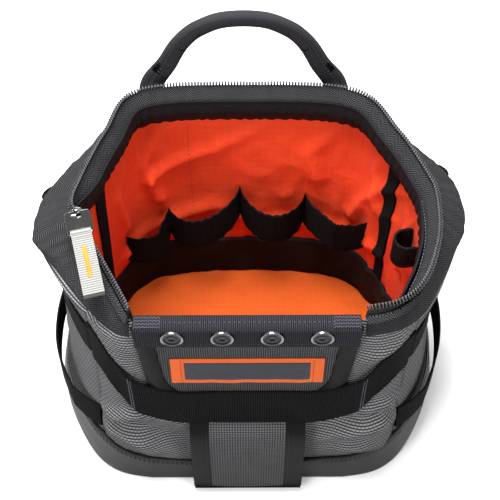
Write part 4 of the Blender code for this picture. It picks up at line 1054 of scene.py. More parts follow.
def makeFacing():
    columns = mouthColumns(9)
    place, height = gridOf(columns, spread(mouth["facingLow"], mouth["facingTop"], 26))
    lean = leanAt(place) * smoothStep(height, *mouth["leanRows"])
    points = inner(place, height, 0)
    steps = np.linalg.norm(np.diff(points[:, 0], axis=0), axis=1)
    along = np.concatenate(([0], np.cumsum(steps)))[:, None]
    phase = 2 * math.pi * along / mouth["gatherLength"] + 4 * crumple(points, (30, 30, 12), 2.2)
    gather = mouth["gather"] * (0.5 + 0.5 * np.sin(phase)) * hump(height, *mouth["gatherRows"])
    out = -mouth["facingOut"] - lean
    facing = loft("rimFacing", inner(place, height, out),
                  inner(place, height, out - mouth["facingCloth"] - gather), facingCloth, edge=0.0003)
    dress(facing, "black_herringbone", "rim_facing")


def makeCollar():
    columns = mouthColumns(9)
    cloth, lean = collar["cloth"], leanAt(columns)
    drawn = smoothTable(range(9), pouch["collarDrawShares"], stationOf(columns))
    foot = collar["foot"] + pouch["collarDraw"] * drawn
    middle = 0.55 * foot + 0.45 * collar["bend"]
    soft = crumple(outer(columns, 0.185, 0), (34, 34, 34), 6.4)
    fine = crumple(outer(columns, 0.180, 0), (95, 95, 60), 2.9)
    swell = collar["swell"] * soft + collar["fineSwell"] * fine
    sag = collar["sag"] * crumple(outer(columns, 0.190, 0), (60, 60, 40), 9.2)
    # towards the front the collar stays on the shoulder's slope, and round the ears it comes down the wall
    onSlope = (1 - smoothStep(np.abs(signedPlace(columns)), *collar["widePlaces"]))[:, None]

    def joined(heights, outLift, inLift):
        return (outer(columns, heights[0], outLift) + inner(columns, heights[1], inLift)) / 2

    def slope(share, up):
        return overShoulder(columns, share, up)[:, 0]

    def throughRows(onWall, overSlope, mouthEnd):
        rows = [wall * (1 - onSlope) + slant * onSlope for wall, slant in zip(onWall, overSlope)]
        return curvePath(np.array(rows + mouthEnd), 34).transpose(1, 0, 2)

    outFace = throughRows(
        [outer(columns, foot, 0.0012 + cloth), outer(columns, middle, 0.0018 + cloth + swell),
         outer(columns, collar["crest"], 0.0012 + cloth + swell),
         joined(collar["crestJoin"], 0.0014 + sag, 0.0012 + sag)],
        [slope(share, up) for share, up in zip(collar["slopeShares"], collar["slopeLifts"])],
        [inner(columns, collar["mouthRows"][0], 0.0030 + cloth - 0.5 * lean),
         inner(columns, collar["mouthRows"][1], 0.0006 + cloth - 0.3 * lean)])
    inFace = throughRows(
        [outer(columns, foot, 0.0005), outer(columns, middle, 0.0006),
         outer(columns, collar["bend"], 0.0003), joined(collar["underJoin"], 0.0004, 0.0004)],
        [slope(share, collar["slopeUnder"]) for share in collar["slopeShares"]],
        [inner(columns, collar["underRows"][0], 0.0020 - 0.5 * lean),
         inner(columns, collar["underRows"][1], 0.0005 - 0.3 * lean)])
    made = loft("rimCollar", outFace, inFace, herringboneTape, edge=0.0003)
    dress(made, "black_herringbone", "rim_collar")
    sewn("collarStitches", [outFace[:, 3] + (0, 0, 0.0002)],
         {"step": 0.0030, "stitch": 0.0021, "thread": 0.00024}, dullThread)


def makeZipper():
    low, high, cloth = mouth["tapeLow"], mouth["tapeHigh"], mouth["tapeCloth"]
    place, height = gridOf(mouthColumns(6), spread(low, high, 8))
    out = -mouth["tapeFit"] - leanAt(place) * (high - height) / (high - low)
    tape = loft("zipperTape", inner(place, height, out), inner(place, height, out - cloth), herringboneTape,
                edge=0.0002)
    dress(tape, "black_herringbone", "zipper_tape")
    middle = -mouth["tapeFit"] - cloth / 2
    top = high + 0.0003 + mouth["chainHeight"] / 2
    fine = mouthColumns(12)
    coil = linesPiece("zipperCoil", [inner(fine, top, middle)], coilNylon)
    grow(coil, zipperCoil, {"Pitch": mouth["coilPitch"], "Width": mouth["coilWidth"],
                            "Height": mouth["chainHeight"], "Coil": coilNylon})
    dress(coil, "zipper_nylon", "zipper_chain")
    # grey beads along the inner edge: painted highlights where the turns' bends catch the light
    highlightSize = mouth["coilHighlightSize"]
    highlights = linesPiece("coilHighlights", [inner(fine, top + 0.0009, middle - 0.0009)], greyThreadAndHighlights)
    grow(highlights, zipperCoil, {"Pitch": mouth["coilPitch"], "Width": highlightSize, "Height": highlightSize, "Coil": greyThreadAndHighlights})
    dress(highlights, "zipper_nylon")
    edge = inner(fine, low + 0.0011, -mouth["tapeFit"] - cloth - leanAt(fine) * 0.91 - 0.0001)
    sewn("tapeStitches", [edge], {"step": 0.0026, "stitch": 0.0021, "thread": 0.00030}, paleThread)


makeFacing()
makeCollar()
makeZipper()
print("mouth made")


# front panel: core, binding, folded webbing, rivets and label

panel = {"halfWidth": 0.0685, "lowHalfWidth": 0.064, "corner": 0.045, "height": 0.0945, "cloth": 0.002,
         "binding": 0.011, "proud": 0.0006, "capHalfWidth": 0.067, "capDrop": 0.0165, "capCloth": 0.0018,
         "capLow": 0.1653, "tackEnd": 0.0085, "tackHalf": 0.0075,
         "tackRows": (-0.0033, -0.0011, 0.0011, 0.0033), "rivetPitch": 0.0295, "rivetDrop": 0.0065,
         "labelWidth": 0.095, "labelHeight": 0.027, "labelDrop": 0.0455, "labelEnd": 0.0085,
         "labelEdge": 0.004, "labelCloth": 0.0006, "ripple": 0.0006}
bindingLevel = pouch["gap"] + panel["cloth"] + panel["proud"]    # the binding's face, off the wall
panelTop = pouch["mouthHeight"] - pouch["sewnGap"]
panelBottom = panelTop - panel["height"]
frontFoot = outer(0, 0, 0)
frontUp = unit(outer(0, pouch["mouthHeight"], 0) - frontFoot)
frontOut = np.cross((1.0, 0, 0), frontUp)


def onFront(x, y, lift):
    # x to the right, y up the front wall's slope, lift off it
    x, y, lift = (np.asarray(v, float)[..., None] for v in (x, y, lift))
    return frontFoot + np.array((1.0, 0, 0)) * x + frontUp * y + frontOut * lift


def frontY(height, offset):
    # how far forward a point lies that is off the front wall at a height
    return float(outer(0, height, 0)[1]) - offset


def innerFrontY(height, depth):
    # the same for a point behind the front wall's inner face
    return float(inner(0, height, 0)[1]) + depth


def panelOutline(inset, steps=14):
    # from the top right corner down, round the bottom and up to the top left
    radius = panel["corner"] - inset
    centre = np.array((panel["lowHalfWidth"] - panel["corner"], panelBottom + panel["corner"]))
    angles = np.linspace(0, -math.pi / 2, steps)
    right = np.concatenate(([[panel["halfWidth"] - inset, panelTop]],
                            centre + radius * np.stack((np.cos(angles), np.sin(angles)), 1)))
    return np.concatenate((right, right[::-1] * (-1, 1)))


def makeFrontPanel():
    gap, thick = pouch["gap"], panel["cloth"] + panel["proud"]
    core = panelOutline(panel["binding"] - 0.001)
    sheet = patch("panelCore", core[::-1], panel["cloth"] - 0.0002, 0.0006,
                  lambda x, y, lift: onFront(x, y, gap + lift), panelWeave, rings=10)
    dress(sheet, "grey_weave", "panel_core")
    middle = panelOutline(panel["binding"] / 2, 24)
    path = refinePath(onFront(middle[:, 0], middle[:, 1], gap + thick / 2), 0.002)
    outwards = np.cross(frontOut, np.gradient(path, axis=0))
    binding = strap("panelBinding", path, outwards, panel["binding"], thick, bindingTape, edge=0.0006,
                    acrossSteps=9, crown=0.0012)
    dress(binding, "black_webbing", "panel_binding")
    inside = panelOutline(panel["binding"] - 0.0016, 24)
    line = refinePath(onFront(inside[:, 0], inside[:, 1], bindingLevel + 0.0002), 0.002)
    sewn("bindingStitches", [line], {"step": 0.0030, "stitch": 0.0022, "thread": 0.00022}, dullThread)


def makeTopWebbing():
    # webbing folded over the front panel's top edge, and down behind it
    gap, cloth, half = pouch["gap"], panel["capCloth"], panel["capHalfWidth"]
    near = bindingLevel + gap + cloth / 2
    low = pouch["mouthHeight"] - panel["capDrop"]
    over = pouch["mouthHeight"] + gap + cloth / 2
    deep = mouth["facingOut"] + mouth["facingCloth"] / 2
    corners = [(frontY(low, near), low), (frontY(over - 0.002, near), over - 0.002),
               (frontY(over, near - 0.002), over), (innerFrontY(over, deep), over),
               (innerFrontY(panel["capLow"], deep), panel["capLow"])]
    profile = roundedPath([np.array((0.0, y, z)) for y, z in corners], 0.0025, 8)
    cap = strap("topWebbing", refinePath(profile, 0.0012), (-1.0, 0, 0), 2 * half, cloth, levelWebbing,
                edge=0.0004, acrossSteps=81)
    dress(cap, "black_webbing", "panel_top_webbing")
    above = over + cloth / 2 + 0.0001
    run = np.linspace(-half + 0.016, half - 0.016, 60)
    depth = (frontY(over, near) + innerFrontY(over, deep)) / 2 - 0.0006
    # a row of grey beads on the fold's crest: painted highlights on the webbing's ribs
    dots = np.stack((run, np.full(60, depth), np.full(60, above)), 1)
    sewn("topRibHighlights", [dots], {"step": 0.0029, "stitch": 0.0013, "thread": 0.00030}, greyThreadAndHighlights)
    lowLine = onFront(run * 1.2, low + 0.003, near + cloth / 2)
    sewn("lowStitches", [lowLine], {"step": 0.0026, "stitch": 0.0017, "thread": 0.00026}, dullThread)
    for side, label in ((-1, "left"), (1, "right")):
        centre, reach = side * (half - panel["tackEnd"]), panel["tackHalf"]
        rows = [zigzag((centre - reach, depth + shift, above), (centre + reach, depth + shift, above),
                       (0, 1, 0), 0.0005, 14) for shift in panel["tackRows"]]
        sewn(label + "TopTack", rows, {"step": 0.0009, "stitch": 0.0012, "thread": 0.00028}, greyThreadAndHighlights)


def makeRivets():
    # rim and dish, turned round the rivet's own axis: (radius, height) from the middle outwards
    profile = ((0.0016, 0.0005), (0.0022, 0.0009), (0.0029, 0.0007), (0.0045, 0.0006), (0.0056, 0.0009),
               (0.0063, 0.0014), (0.0068, 0.0012), (0.0070, 0.0005), (0.0070, 0.0))
    dishRadius, turns, rings = 0.0058, 40, len(profile)
    points = [(r * math.cos(2 * math.pi * t / turns), r * math.sin(2 * math.pi * t / turns), z)
              for r, z in profile for t in range(turns)]
    faces = [(k * turns + t, (k + 1) * turns + t, (k + 1) * turns + (t + 1) % turns,
              k * turns + (t + 1) % turns)
             for k in range(rings - 1) for t in range(turns)]
    faces.append(list(range(turns)))
    faces.append([(rings - 1) * turns + t for t in reversed(range(turns))])
    mesh = bpy.data.meshes.new("rivets")
    mesh.from_pydata(points, [], faces)
    rivets = newPiece("rivets", mesh, gunmetal)
    mesh.materials.append(rivetDish)
    reach = [max(mesh.vertices[i].co.xy.length for i in face.vertices) for face in mesh.polygons]
    dished = [int(far < dishRadius and face.normal.z > 0) for far, face in zip(reach, mesh.polygons)]
    mesh.polygons.foreach_set("material_index", dished)
    level = bindingLevel + pouch["gap"] + panel["capCloth"] + 0.0002
    start = onFront(-1.5 * panel["rivetPitch"], pouch["mouthHeight"] - panel["rivetDrop"], level)
    tilt = math.atan2(-frontOut[1], frontOut[2])
    grow(rivets, evenRow, {"Count": 4, "Start": tuple(start), "Offset": (panel["rivetPitch"], 0.0, 0.0),
                           "Turn": (tilt, 0.0, 0.0)})
    rivets.data.set_sharp_from_angle(angle=math.radians(50))
    dress(rivets, "gunmetal", "panel_rivet_1", "panel_rivet_2", "panel_rivet_3", "panel_rivet_4")


def roundedRectangle(halfWidth, halfHeight, middle, radius, perSide=12):
    corners = []
    for x, y, start in ((1, 1, 0), (-1, 1, 90), (-1, -1, 180), (1, -1, 270)):
        for a in np.radians(np.linspace(start, start + 90, 4)):
            corners.append((x * (halfWidth - radius) + radius * math.cos(a),
                            middle + y * (halfHeight - radius) + radius * math.sin(a)))
    path = np.array([(x, y, 0.0) for x, y in corners + corners[:1]])
    return refinePath(path, 2 * halfWidth / perSide)[:-1, :2]


def makeLabel():
    middle = panelTop - panel["labelDrop"]
    level = pouch["gap"] + panel["cloth"] + 0.0006
    halfWidth, halfHeight = panel["labelWidth"] / 2, panel["labelHeight"] / 2

    def laid(x, y, lift):
        # the label follows the panel, with a slow ripple along its lower edge
        ripple = panel["ripple"] * np.sin(x * 150) * np.clip((middle - y) / 0.013, 0, 1)
        return onFront(x, y + 0.3 * ripple, level + lift + np.abs(ripple))

    border = patch("labelFrame", roundedRectangle(halfWidth, halfHeight, middle, 0.001), panel["labelCloth"],
                   0.0002, laid, labelBorder, rings=8)
    dress(border, "label_orange", "label_frame")
    inside = roundedRectangle(halfWidth - panel["labelEnd"], halfHeight - panel["labelEdge"], middle, 0.0006)
    field = patch("labelField", inside, panel["labelCloth"] + 0.0004, 0.0001, laid, labelField, rings=8)
    dress(field, "label_slate", "label_field")
    lines = []
    for side in (-1, 1):
        x = side * (halfWidth - 0.0065)
        y = np.linspace(middle - halfHeight + 0.001, middle + halfHeight - 0.001, 20)
        lines.append(laid(np.full(20, x), y, 0.0010))
    sewn("labelStitches", lines, {"step": 0.0016, "stitch": 0.0012, "thread": 0.00022}, rustThread)


makeFrontPanel()
makeTopWebbing()
makeRivets()
makeLabel()
print("front panel made")


# belt and belt tunnel

belt = {"cloth": 0.0020, "panelLevel": 0.0032, "join": 3.25}
tunnel = {"halfWidth": 0.039, "binding": 0.013, "cloth": 0.002, "bindingCloth": 0.0026, "room": 0.0083,
          "hem": 0.0035, "hemCloth": 0.0012,
          "bends": ((0.0, 0.86), (0.80, 0.76), (1.0, 0.49), (0.97, 0.14), (0.88, 0.06))}


def beltLevel(place, height):
    # over the front panel in the middle, and on the body's folds beside it
    away = np.abs(signedPlace(place))
    onPanel = belt["panelLevel"] * (1 - smoothStep(away, frontCorner, frontCorner + 1.1))
    return np.maximum(onPanel, bodyLift(place, height) + 0.0004)


def makeBelt():
    columns = spread(-sideSeam + 0.02, sideSeam - 0.02, 150)
    place, share = gridOf(columns, spread(0, 1, 16))
    height = beltFoot(place) + pouch["beltWidth"] * share
    level = beltLevel(place, height) + 0.0003 * crumple(outer(place, height, 0), (20, 20, 20), 4.0).clip(0)
    made = loft("frontBelt", outer(place, height, level + belt["cloth"]), outer(place, height, level),
                blackWebbing, edge=0.0005)
    dress(made, "black_webbing", "front_belt")
    # two upright rows of stitches where the belt is sewn down beside the front panel
    lines = []
    for join in (-belt["join"], belt["join"]):
        for shift in (-0.05, 0.05):
            up = beltFoot(join + shift) + np.linspace(0.002, pouch["beltWidth"] - 0.002, 30)
            level = beltLevel(join + shift, up)
            lines.append(outer(join + shift, up, level + belt["cloth"] + 0.0001))
    sewn("beltStitches", lines, {"step": 0.0022, "stitch": 0.0018, "thread": 0.00026}, paleThread)


def makeTunnel():
    # from the front panel's lower edge out, down and back in to the boot's foot
    top = panelBottom - pouch["sewnGap"]
    close = pouch["gap"] + tunnel["bindingCloth"] / 2
    reach = boot["fit"] + boot["wall"] + tunnel["room"] - close
    route = [(close, top)] + [(close + reach * out, top * high) for out, high in tunnel["bends"]]
    route.append((boot["fit"] + boot["wall"] + pouch["gap"] + tunnel["bindingCloth"] / 2, tunnel["hem"]))
    controls = np.array([(0.0, frontY(height, offset), height) for offset, height in route])
    path = refinePath(curvePath(controls, 60), 0.0015)
    halfPanel = tunnel["halfWidth"] - tunnel["binding"] + 0.0004
    sheet = strap("tunnelPanel", path, (1.0, 0, 0), 2 * halfPanel, tunnel["cloth"], tunnelWeave, edge=0.0003,
                  acrossSteps=17, crown=0.0008)
    dress(sheet, "grey_weave", "tunnel_panel")
    for side, label in ((-1, "Left"), (1, "Right")):
        x = side * (tunnel["halfWidth"] - tunnel["binding"] / 2)
        tape = strap("tunnelBinding" + label, path + (x, 0, 0), (1.0, 0, 0), tunnel["binding"],
                     tunnel["bindingCloth"], bindingTape, edge=0.0005, acrossSteps=7, crown=0.0003)
        dress(tape, "black_webbing", "tunnel_binding_" + label.lower())
        inside = side * (tunnel["halfWidth"] - tunnel["binding"] + 0.0018)
        line = path[2:-2] + (inside, -tunnel["bindingCloth"] / 2 - 0.0004, 0)
        sewn("tunnelStitches" + label, [line], {"step": 0.0030, "stitch": 0.0022, "thread": 0.00024},
             dullThread)
    # the binding also runs across the foot
    hem = path[-17:-4] + (0, -tunnel["bindingCloth"] / 2 - 0.0010, 0)
    tape = strap("tunnelHem", hem, (1.0, 0, 0), 2 * tunnel["halfWidth"] - 0.0010, tunnel["hemCloth"],
                 bindingTape, edge=0.0003, acrossSteps=17)
    dress(tape, None)


makeBelt()
makeTunnel()
print("belt made")


# side bands, corner tabs and carry handle

sideBand = {"cloth": 0.0016, "loopRoom": 0.0074, "swell": 2.2, "loopEnd": 18}
cornerTab = {"reach": 0.013, "halfWidth": 0.006, "height": 0.015, "cloth": 0.0016, "level": 0.1658,
             "off": 0.0026, "left": places - 5.17 * stationPlaces, "right": 5.5 * stationPlaces}
handle = {"radius": 0.066, "rise": 0.0707, "shift": -0.002, "lean": 0.0068, "leanHeight": 0.016,
          "legWidth": 0.017,
          "line": ((1, 0.11), (0.955, 0.226), (0.81, 0.43), (0.685, 0.65), (0.553, 0.806), (0.417, 0.90),
                   (0.232, 0.977), (0, 1)),
          "legThick": 0.0042, "gripWidth": 0.0108, "gripThick": 0.0080, "hingeThick": 0.0025,
          "endHeight": 0.030, "endCloth": 0.0025, "endLevel": 0.0026, "stitchSpread": 0.31}


def bandLoft(name, columns, low, lift, cloth, finish, edge=0.0004):
    # a level webbing band on the outer wall
    place, height = gridOf(columns, spread(low, low + pouch["bandWidth"], 10))
    level = lift(place, height)
    return loft(name, outer(place, height, level + cloth), outer(place, height, level), finish, edge=edge)


def sides():
    # the right side's places as they are, and the left side's mirrored
    yield "right", lambda first, last: (first, last)
    yield "left", lambda first, last: (places - last, places - first)


def makeSideBands():
    for side, placed in sides():
        first, last = placed(sideSeam, backCorner)
        band = bandLoft(side + "UpperBand", spread(first + 0.03, last - 0.03, 110), pouch["upperBandLow"],
                        lambda place, height: bodyLift(place, height) + 0.0004, sideBand["cloth"],
                        blackWebbing)
        dress(band, "black_webbing", side + "_upper_band")
        first, last = placed(sideSeam, sideBand["loopEnd"])

        def loopLift(place, height, first=first, last=last):
            # sewn down at both ends, and upright off the drawn-in wall between them
            share = np.minimum(1, sideBand["swell"] * np.sin(math.pi * (place - first) / (last - first)))
            upright = waistAt(place, height) - waistAt(place, pouch["lowerBandLow"])
            return np.maximum(bodyLift(place, height) + 0.0004,
                              0.0003 + (sideBand["loopRoom"] + upright) * share)

        band = bandLoft(side + "LowerBand", spread(first + 0.03, last - 0.03, 110), pouch["lowerBandLow"],
                        loopLift, sideBand["cloth"], blackWebbing)
        dress(band, "black_webbing", side + "_lower_band")


def wallAxes(face, place, height, lift, tall=0):
    # a frame on a wall: its origin, the way along the wall, outwards, and up along its slope
    origin = face(place, height, lift)
    along = unit(face(np.floor(place) + 1, height, lift) - face(np.floor(place), height, lift))
    rise = face(place, height + tall, lift) - origin if tall else np.array((0, 0, 1.0))
    up = unit(rise - along * (rise @ along))
    return origin, along, np.cross(along, up), up


def bentLoop(name, face, place, height, lift, reach, halfWidth, tall, cloth, outward, finish, slope=0):
    # webbing that leaves the wall, turns round and comes back to it
    origin, along, outwards, up = wallAxes(face, place, height, lift, slope)
    angles = np.linspace(0, math.pi, 15)
    turn = [(-halfWidth * math.cos(a), reach - halfWidth + halfWidth * math.sin(a)) for a in angles]
    flat = [(-halfWidth, 0.0)] + turn + [(halfWidth, 0.0)]
    path = np.array([origin + along * x + outwards * y * outward + up * tall / 2 for x, y in flat])
    return strap(name, refinePath(path, 0.001), up, tall, cloth, finish, acrossSteps=9)


def makeCornerTabs():
    for side in ("left", "right"):
        tab = bentLoop(side + "CornerTab", outer, cornerTab[side], cornerTab["level"], cornerTab["off"],
                       cornerTab["reach"], cornerTab["halfWidth"], cornerTab["height"], cornerTab["cloth"],
                       1, blackWebbing, slope=cornerTab["height"])
        dress(tab, "black_webbing", side + "_corner_tab")


def jointNamed(name):
    return next(joint for joint in frame["joints"] if joint["name"] == name)


def makeHandle():
    pivot = np.array(jointNamed("handle_fold")["pos_m"])
    radius, lean = handle["radius"], handle["lean"]
    half = [(radius, 0, 0.0004)]
    for acrossShare, riseShare in handle["line"]:
        rise = handle["rise"] * riseShare
        half.append((radius * acrossShare, lean * min(rise / handle["leanHeight"], 1), rise))
    path = np.array(half + [(-x, y, z) for x, y, z in reversed(half[:-1])])
    path = refinePath(curvePath(path, 200), 0.0015)
    # flat and wide at the hinge, narrow and nearly round in the grip
    share = np.clip(np.abs(path[:, 0]) / radius, 0, 1) ** 3
    wide = handle["gripWidth"] + (handle["legWidth"] - handle["gripWidth"]) * share
    thick = handle["gripThick"] + (handle["legThick"] - handle["gripThick"]) * share
    thick = thick - (handle["legThick"] - handle["hingeThick"]) * (1 - smoothStep(path[:, 2], 0.0, 0.014))
    grip = tube("carryHandle", path + pivot, (0, 1.0, 0), wide, thick, handleTape, sides=24, square=3.0)
    dress(grip, "black_webbing", "carry_handle", body="handle")
    outward = np.cross((0, 1.0, 0), unit(np.gradient(path, axis=0)))
    level = path + pivot + outward * (thick * 0.455 + 0.0002)[:, None]
    rows = [(level + (0, 1.0, 0) * (wide * side)[:, None])[34:-34]
            for side in (-handle["stitchSpread"], handle["stitchSpread"])]
    sewn("gripStitches", rows, {"step": 0.0032, "stitch": 0.0022, "thread": 0.00030}, dullThread,
         body="handle")
    top = pivot[2] + 0.0005
    for side in ("left", "right"):
        legX = radius + (handle["shift"] if side == "right" else -handle["shift"])
        # the places on the wall that lie at the leg's middle and at its edge
        columns = spread(backCorner - 1, places / 2, 800)
        across = outer(columns, top, 0)[:, 0]
        middle = float(np.interp(-legX, -across, columns))
        reach = float(np.interp(-(legX - handle["legWidth"] / 2), -across, columns)) - middle
        if side == "left":
            middle = places - middle
        place, height = gridOf(spread(middle - reach, middle + reach, 12),
                               spread(top - handle["endHeight"], top, 16))
        level = handle["endLevel"]
        end = loft(side + "HandleEnd", outer(place, height, level + handle["endCloth"]),
                   outer(place, height, level), blackWebbing, edge=0.0005)
        dress(end, "black_webbing", "handle_end_" + side)


makeSideBands()
makeCornerTabs()
makeHandle()
print("bands and handle made")


# inside: tool band, straps, tether loop, ring tab and ring

toolBand = {"height": 0.030, "cloth": 0.0015, "stations": (6.35, 7.43, 8.07, 8.8, 9.77),
            "tops": (0.098, 0.104, 0.112, 0.092, 0.086), "depths": (0.024, 0.028, 0.026, 0.022), "bow": 0.5,
            "steps": 40, "scallop": 0.0007}
innerStrap = {"right": 17, "left": 31, "cloth": 0.0015}
tether = {"place": 4.5 * stationPlaces, "drop": 0.067, "off": -0.0029, "reach": 0.016, "halfWidth": 0.008,
          "height": 0.022, "cloth": 0.0016}
ringTab = {"place": 2.5 * stationPlaces, "drop": 0.0345, "width": 0.016, "cloth": 0.0016, "fold": 0.0026,
           "hang": 0.0172}


def makeToolBand():
    place, top, stand = [], [], []
    for index, depth in enumerate(toolBand["depths"]):
        first, last = (station * stationPlaces for station in toolBand["stations"][index:index + 2])
        low, high = toolBand["tops"][index:index + 2]
        for share in np.arange(0, 1, 1 / toolBand["steps"]):
            place.append(first + (last - first) * share)
            top.append(low + (high - low) * share)
            stand.append(depth * math.sin(math.pi * share) ** toolBand["bow"])
    place.append(toolBand["stations"][-1] * stationPlaces)
    top.append(toolBand["tops"][-1])
    stand.append(0.0)
    place, top, stand = (np.array(values)[:, None] for values in (place, top, stand))
    row = spread(0, 1, 12)[None, :]
    height = top + (row - 1) * toolBand["height"]
    # the elastic's edges are wavy where it stands free
    wave = toolBand["scallop"] * np.sin(np.arange(len(place)) * 1.35)[:, None]
    height = height + wave * (row - 0.5) * 2 * np.clip(stand / 0.01, 0, 1)
    under = -mouth["facingOut"] - np.maximum(stand, liningSag(place, height) + 0.0003)
    band = loft("toolBand", inner(place, height, under), inner(place, height, under - toolBand["cloth"]),
                blackWebbing, edge=0.0003)
    dress(band, "black_webbing", "tool_band")


def makeInnerStraps():
    for side in ("right", "left"):
        columns = spread(innerStrap[side] + 0.03, innerStrap[side] + 0.97, 8)
        rows = spread(pouch["innerBandTop"] + 0.001, mouth["facingLow"] - 0.001, 60)
        place, height = gridOf(columns, rows)
        under = -mouth["facingOut"] - liningSag(place, height) - 0.0002
        made = loft(side + "InnerStrap", inner(place, height, under),
                    inner(place, height, under - innerStrap["cloth"]), blackWebbing, edge=0.0004)
        dress(made, "black_webbing", side + "_inner_strap")


def makeTether():
    loop = bentLoop("tetherLoop", inner, tether["place"], pouch["mouthHeight"] - tether["drop"],
                    tether["off"], tether["reach"], tether["halfWidth"], tether["height"], tether["cloth"],
                    -1, blackWebbing)
    dress(loop, "black_webbing", "tether_loop")


def makeRing():
    # the tab hangs down the wall, turns round the ring's bar and comes back up in front of itself
    top = pouch["mouthHeight"] - ringTab["drop"]
    origin, along, outwards = wallAxes(inner, ringTab["place"], top, -mouth["facingOut"])[:3]
    cloth, fold = ringTab["cloth"], ringTab["fold"]
    bar = (cloth / 2 + fold, -ringTab["hang"])
    angles = np.radians(np.linspace(180, 405, 20))
    bend = [(bar[0] + fold * math.cos(a), bar[1] + fold * math.sin(a)) for a in angles]
    front = [(bar[0] + 0.0003, bar[1] + fold * 2.3), (cloth / 2 + cloth + 0.0003, -cloth)]
    path = np.array([origin - outwards * x + (0, 0, y) for x, y in [(cloth / 2, 0)] + bend + front])
    tab = strap("ringTab", refinePath(path, 0.0008), along, ringTab["width"], cloth, blackWebbing,
                acrossSteps=7)
    dress(tab, "black_webbing", "ring_tab")
    ring = refinedCopy("ring", "d_ring", ringSteel, 0, 2)
    dress(ring, "ring_steel", "d_ring", body="ring")


makeToolBand()
makeInnerStraps()
makeTether()
makeRing()
print("inside made")


# slider, pull loop and pull tab

pull = {"width": 0.0125, "length": 0.045, "cloth": 0.0016, "wire": 0.0018}


def makeSlider():
    slider = refinedCopy("slider", "zipper_slider", glossBlack, 0.0005)
    dress(slider, "slider_metal", "zipper_slider", body="slider")
    loop = refinedCopy("pullLoop", "zipper_pull_loop", glossBlack, 0, 2)
    dress(loop, "slider_metal", "zipper_pull_loop", body="pull_loop")


def makePullTab():
    bail = np.array(jointNamed("pull_loop_swing")["pos_m"])
    pivot = np.array(jointNamed("pull_tab_swing")["pos_m"])
    axis = unit(np.array(jointNamed("pull_tab_swing")["axis"], float))
    way = unit(pivot - bail)
    up = np.cross(way, axis)
    if up[2] < 0:
        up = -up
    eye = pull["wire"] / 2 + 0.0005 + pull["cloth"] / 2
    throat = pull["cloth"] / 2 + 0.0003
    fold = [(eye * math.cos(a), eye * math.sin(a)) for a in np.radians(np.linspace(50, 310, 20))]
    flat = [(pull["length"], throat), (eye * 2, throat)] + fold
    flat += [(eye * 2, -throat), (pull["length"], -throat)]
    path = np.array([pivot + way * x + up * y for x, y in flat])
    tab = strap("pullTab", refinePath(path, 0.0008), np.cross(up, way), pull["width"], pull["cloth"],
                paleWebbing, acrossSteps=9)
    dress(tab, "pale_webbing", "zipper_pull_tab", body="pull_tab")
    side = np.cross(up, way)
    level = pivot + up * (throat + pull["cloth"] / 2 + 0.0002)
    line = zigzag(level + way * 0.011, level + way * 0.033, side, 0.0011, 44)
    sewn("pullTack", [line], {"step": 0.0006, "stitch": 0.0010, "thread": 0.00042}, amberThread,
         body="pull_tab")


makeSlider()
makePullTab()
print("slider made")


# camera, light and floor

view = {"camera": (0.000461, -0.388371, 0.680889), "target": (0.00206, 0.0, 0.1497), "lens": 69.62,
        "pixels": 500, "fill": 0.27, "lampTarget": (0, 0, 0.1)}
# soft square lamps: place, side and watts
lamps = {"topSoft": ((-0.10, 0.06, 1.05), 0.45, 22), "frontLeftSoft": ((-0.48, -0.62, 0.60), 0.3, 4.6),
         "frontRightSoft": ((0.52, -0.58, 0.60), 0.3, 3.4), "rearSoft": ((-0.25, 0.95, 0.60), 0.4, 4)}


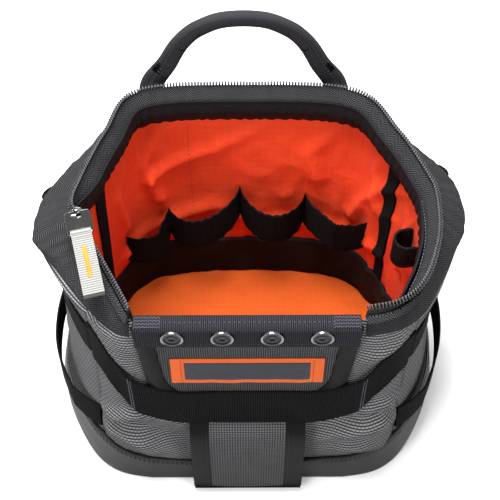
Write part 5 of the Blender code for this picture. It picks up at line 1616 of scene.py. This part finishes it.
def makeView():
    data = bpy.data.cameras.new("camera")
    camera = bpy.data.objects.new("camera", data)
    bpy.context.scene.collection.objects.link(camera)
    data.lens = view["lens"]
    data.sensor_width = 36
    data.clip_start, data.clip_end = 0.01, 50
    place = Vector(view["camera"]) + Vector((0, shiftY, 0))
    target = Vector(view["target"]) + Vector((0, shiftY, 0))
    camera.location = place
    camera.rotation_euler = (target - place).to_track_quat("-Z", "Y").to_euler()
    bpy.context.scene.camera = camera


def makeLamp(name, place, size, power):
    data = bpy.data.lights.new(name, "AREA")
    data.shape = "RECTANGLE"
    data.size = data.size_y = size
    data.energy = power
    lamp = bpy.data.objects.new(name, data)
    bpy.context.scene.collection.objects.link(lamp)
    lamp.location = place
    way = Vector(view["lampTarget"]) - Vector(place)
    lamp.rotation_euler = way.to_track_quat("-Z", "Y").to_euler()


def makeWorld():
    world = bpy.data.worlds.new("studio")
    world.use_nodes = True
    bpy.context.scene.world = world
    tree = world.node_tree
    tree.nodes.clear()
    # the camera, metal and gloss see plain white, and cloth gets a weaker fill
    ray = addNode(tree, "ShaderNodeLightPath").outputs
    seen = calc(tree, "MAXIMUM", calc(tree, "MAXIMUM", ray["Is Camera Ray"], ray["Is Glossy Ray"]),
                ray["Is Transmission Ray"])
    plain = addNode(tree, "ShaderNodeBackground", {"Color": (1, 1, 1, 1), "Strength": 1.0})
    fill = addNode(tree, "ShaderNodeBackground", {"Color": (1, 1, 1, 1), "Strength": view["fill"]})
    mixed = addNode(tree, "ShaderNodeMixShader", {0: seen, 1: fill.outputs[0], 2: plain.outputs[0]})
    addNode(tree, "ShaderNodeOutputWorld", {0: mixed.outputs[0]})


def makeFloor():
    build = bmesh.new()
    bmesh.ops.create_grid(build, x_segments=1, y_segments=1, size=2.5)
    mesh = bpy.data.meshes.new("floor")
    build.to_mesh(mesh)
    build.free()
    paper = plainMaterial("whitePaper", {"dark": "#fafafa", "light": "#ffffff", "roughness": 0.9,
                                         "depth": 0.0})
    floor = newPiece("floor", mesh, paper)
    floor.location = (0, 0, -0.0002)
    # the paper catches the shadow, and throws no light up onto the pouch's foot
    floor.visible_diffuse = False


makeView()
makeWorld()
makeFloor()
for name, lamp in lamps.items():
    makeLamp(name, *lamp)
bpy.context.scene.view_settings.view_transform = "Standard"
bpy.context.scene.render.resolution_x = view["pixels"]
bpy.context.scene.render.resolution_y = view["pixels"]
print("view made")
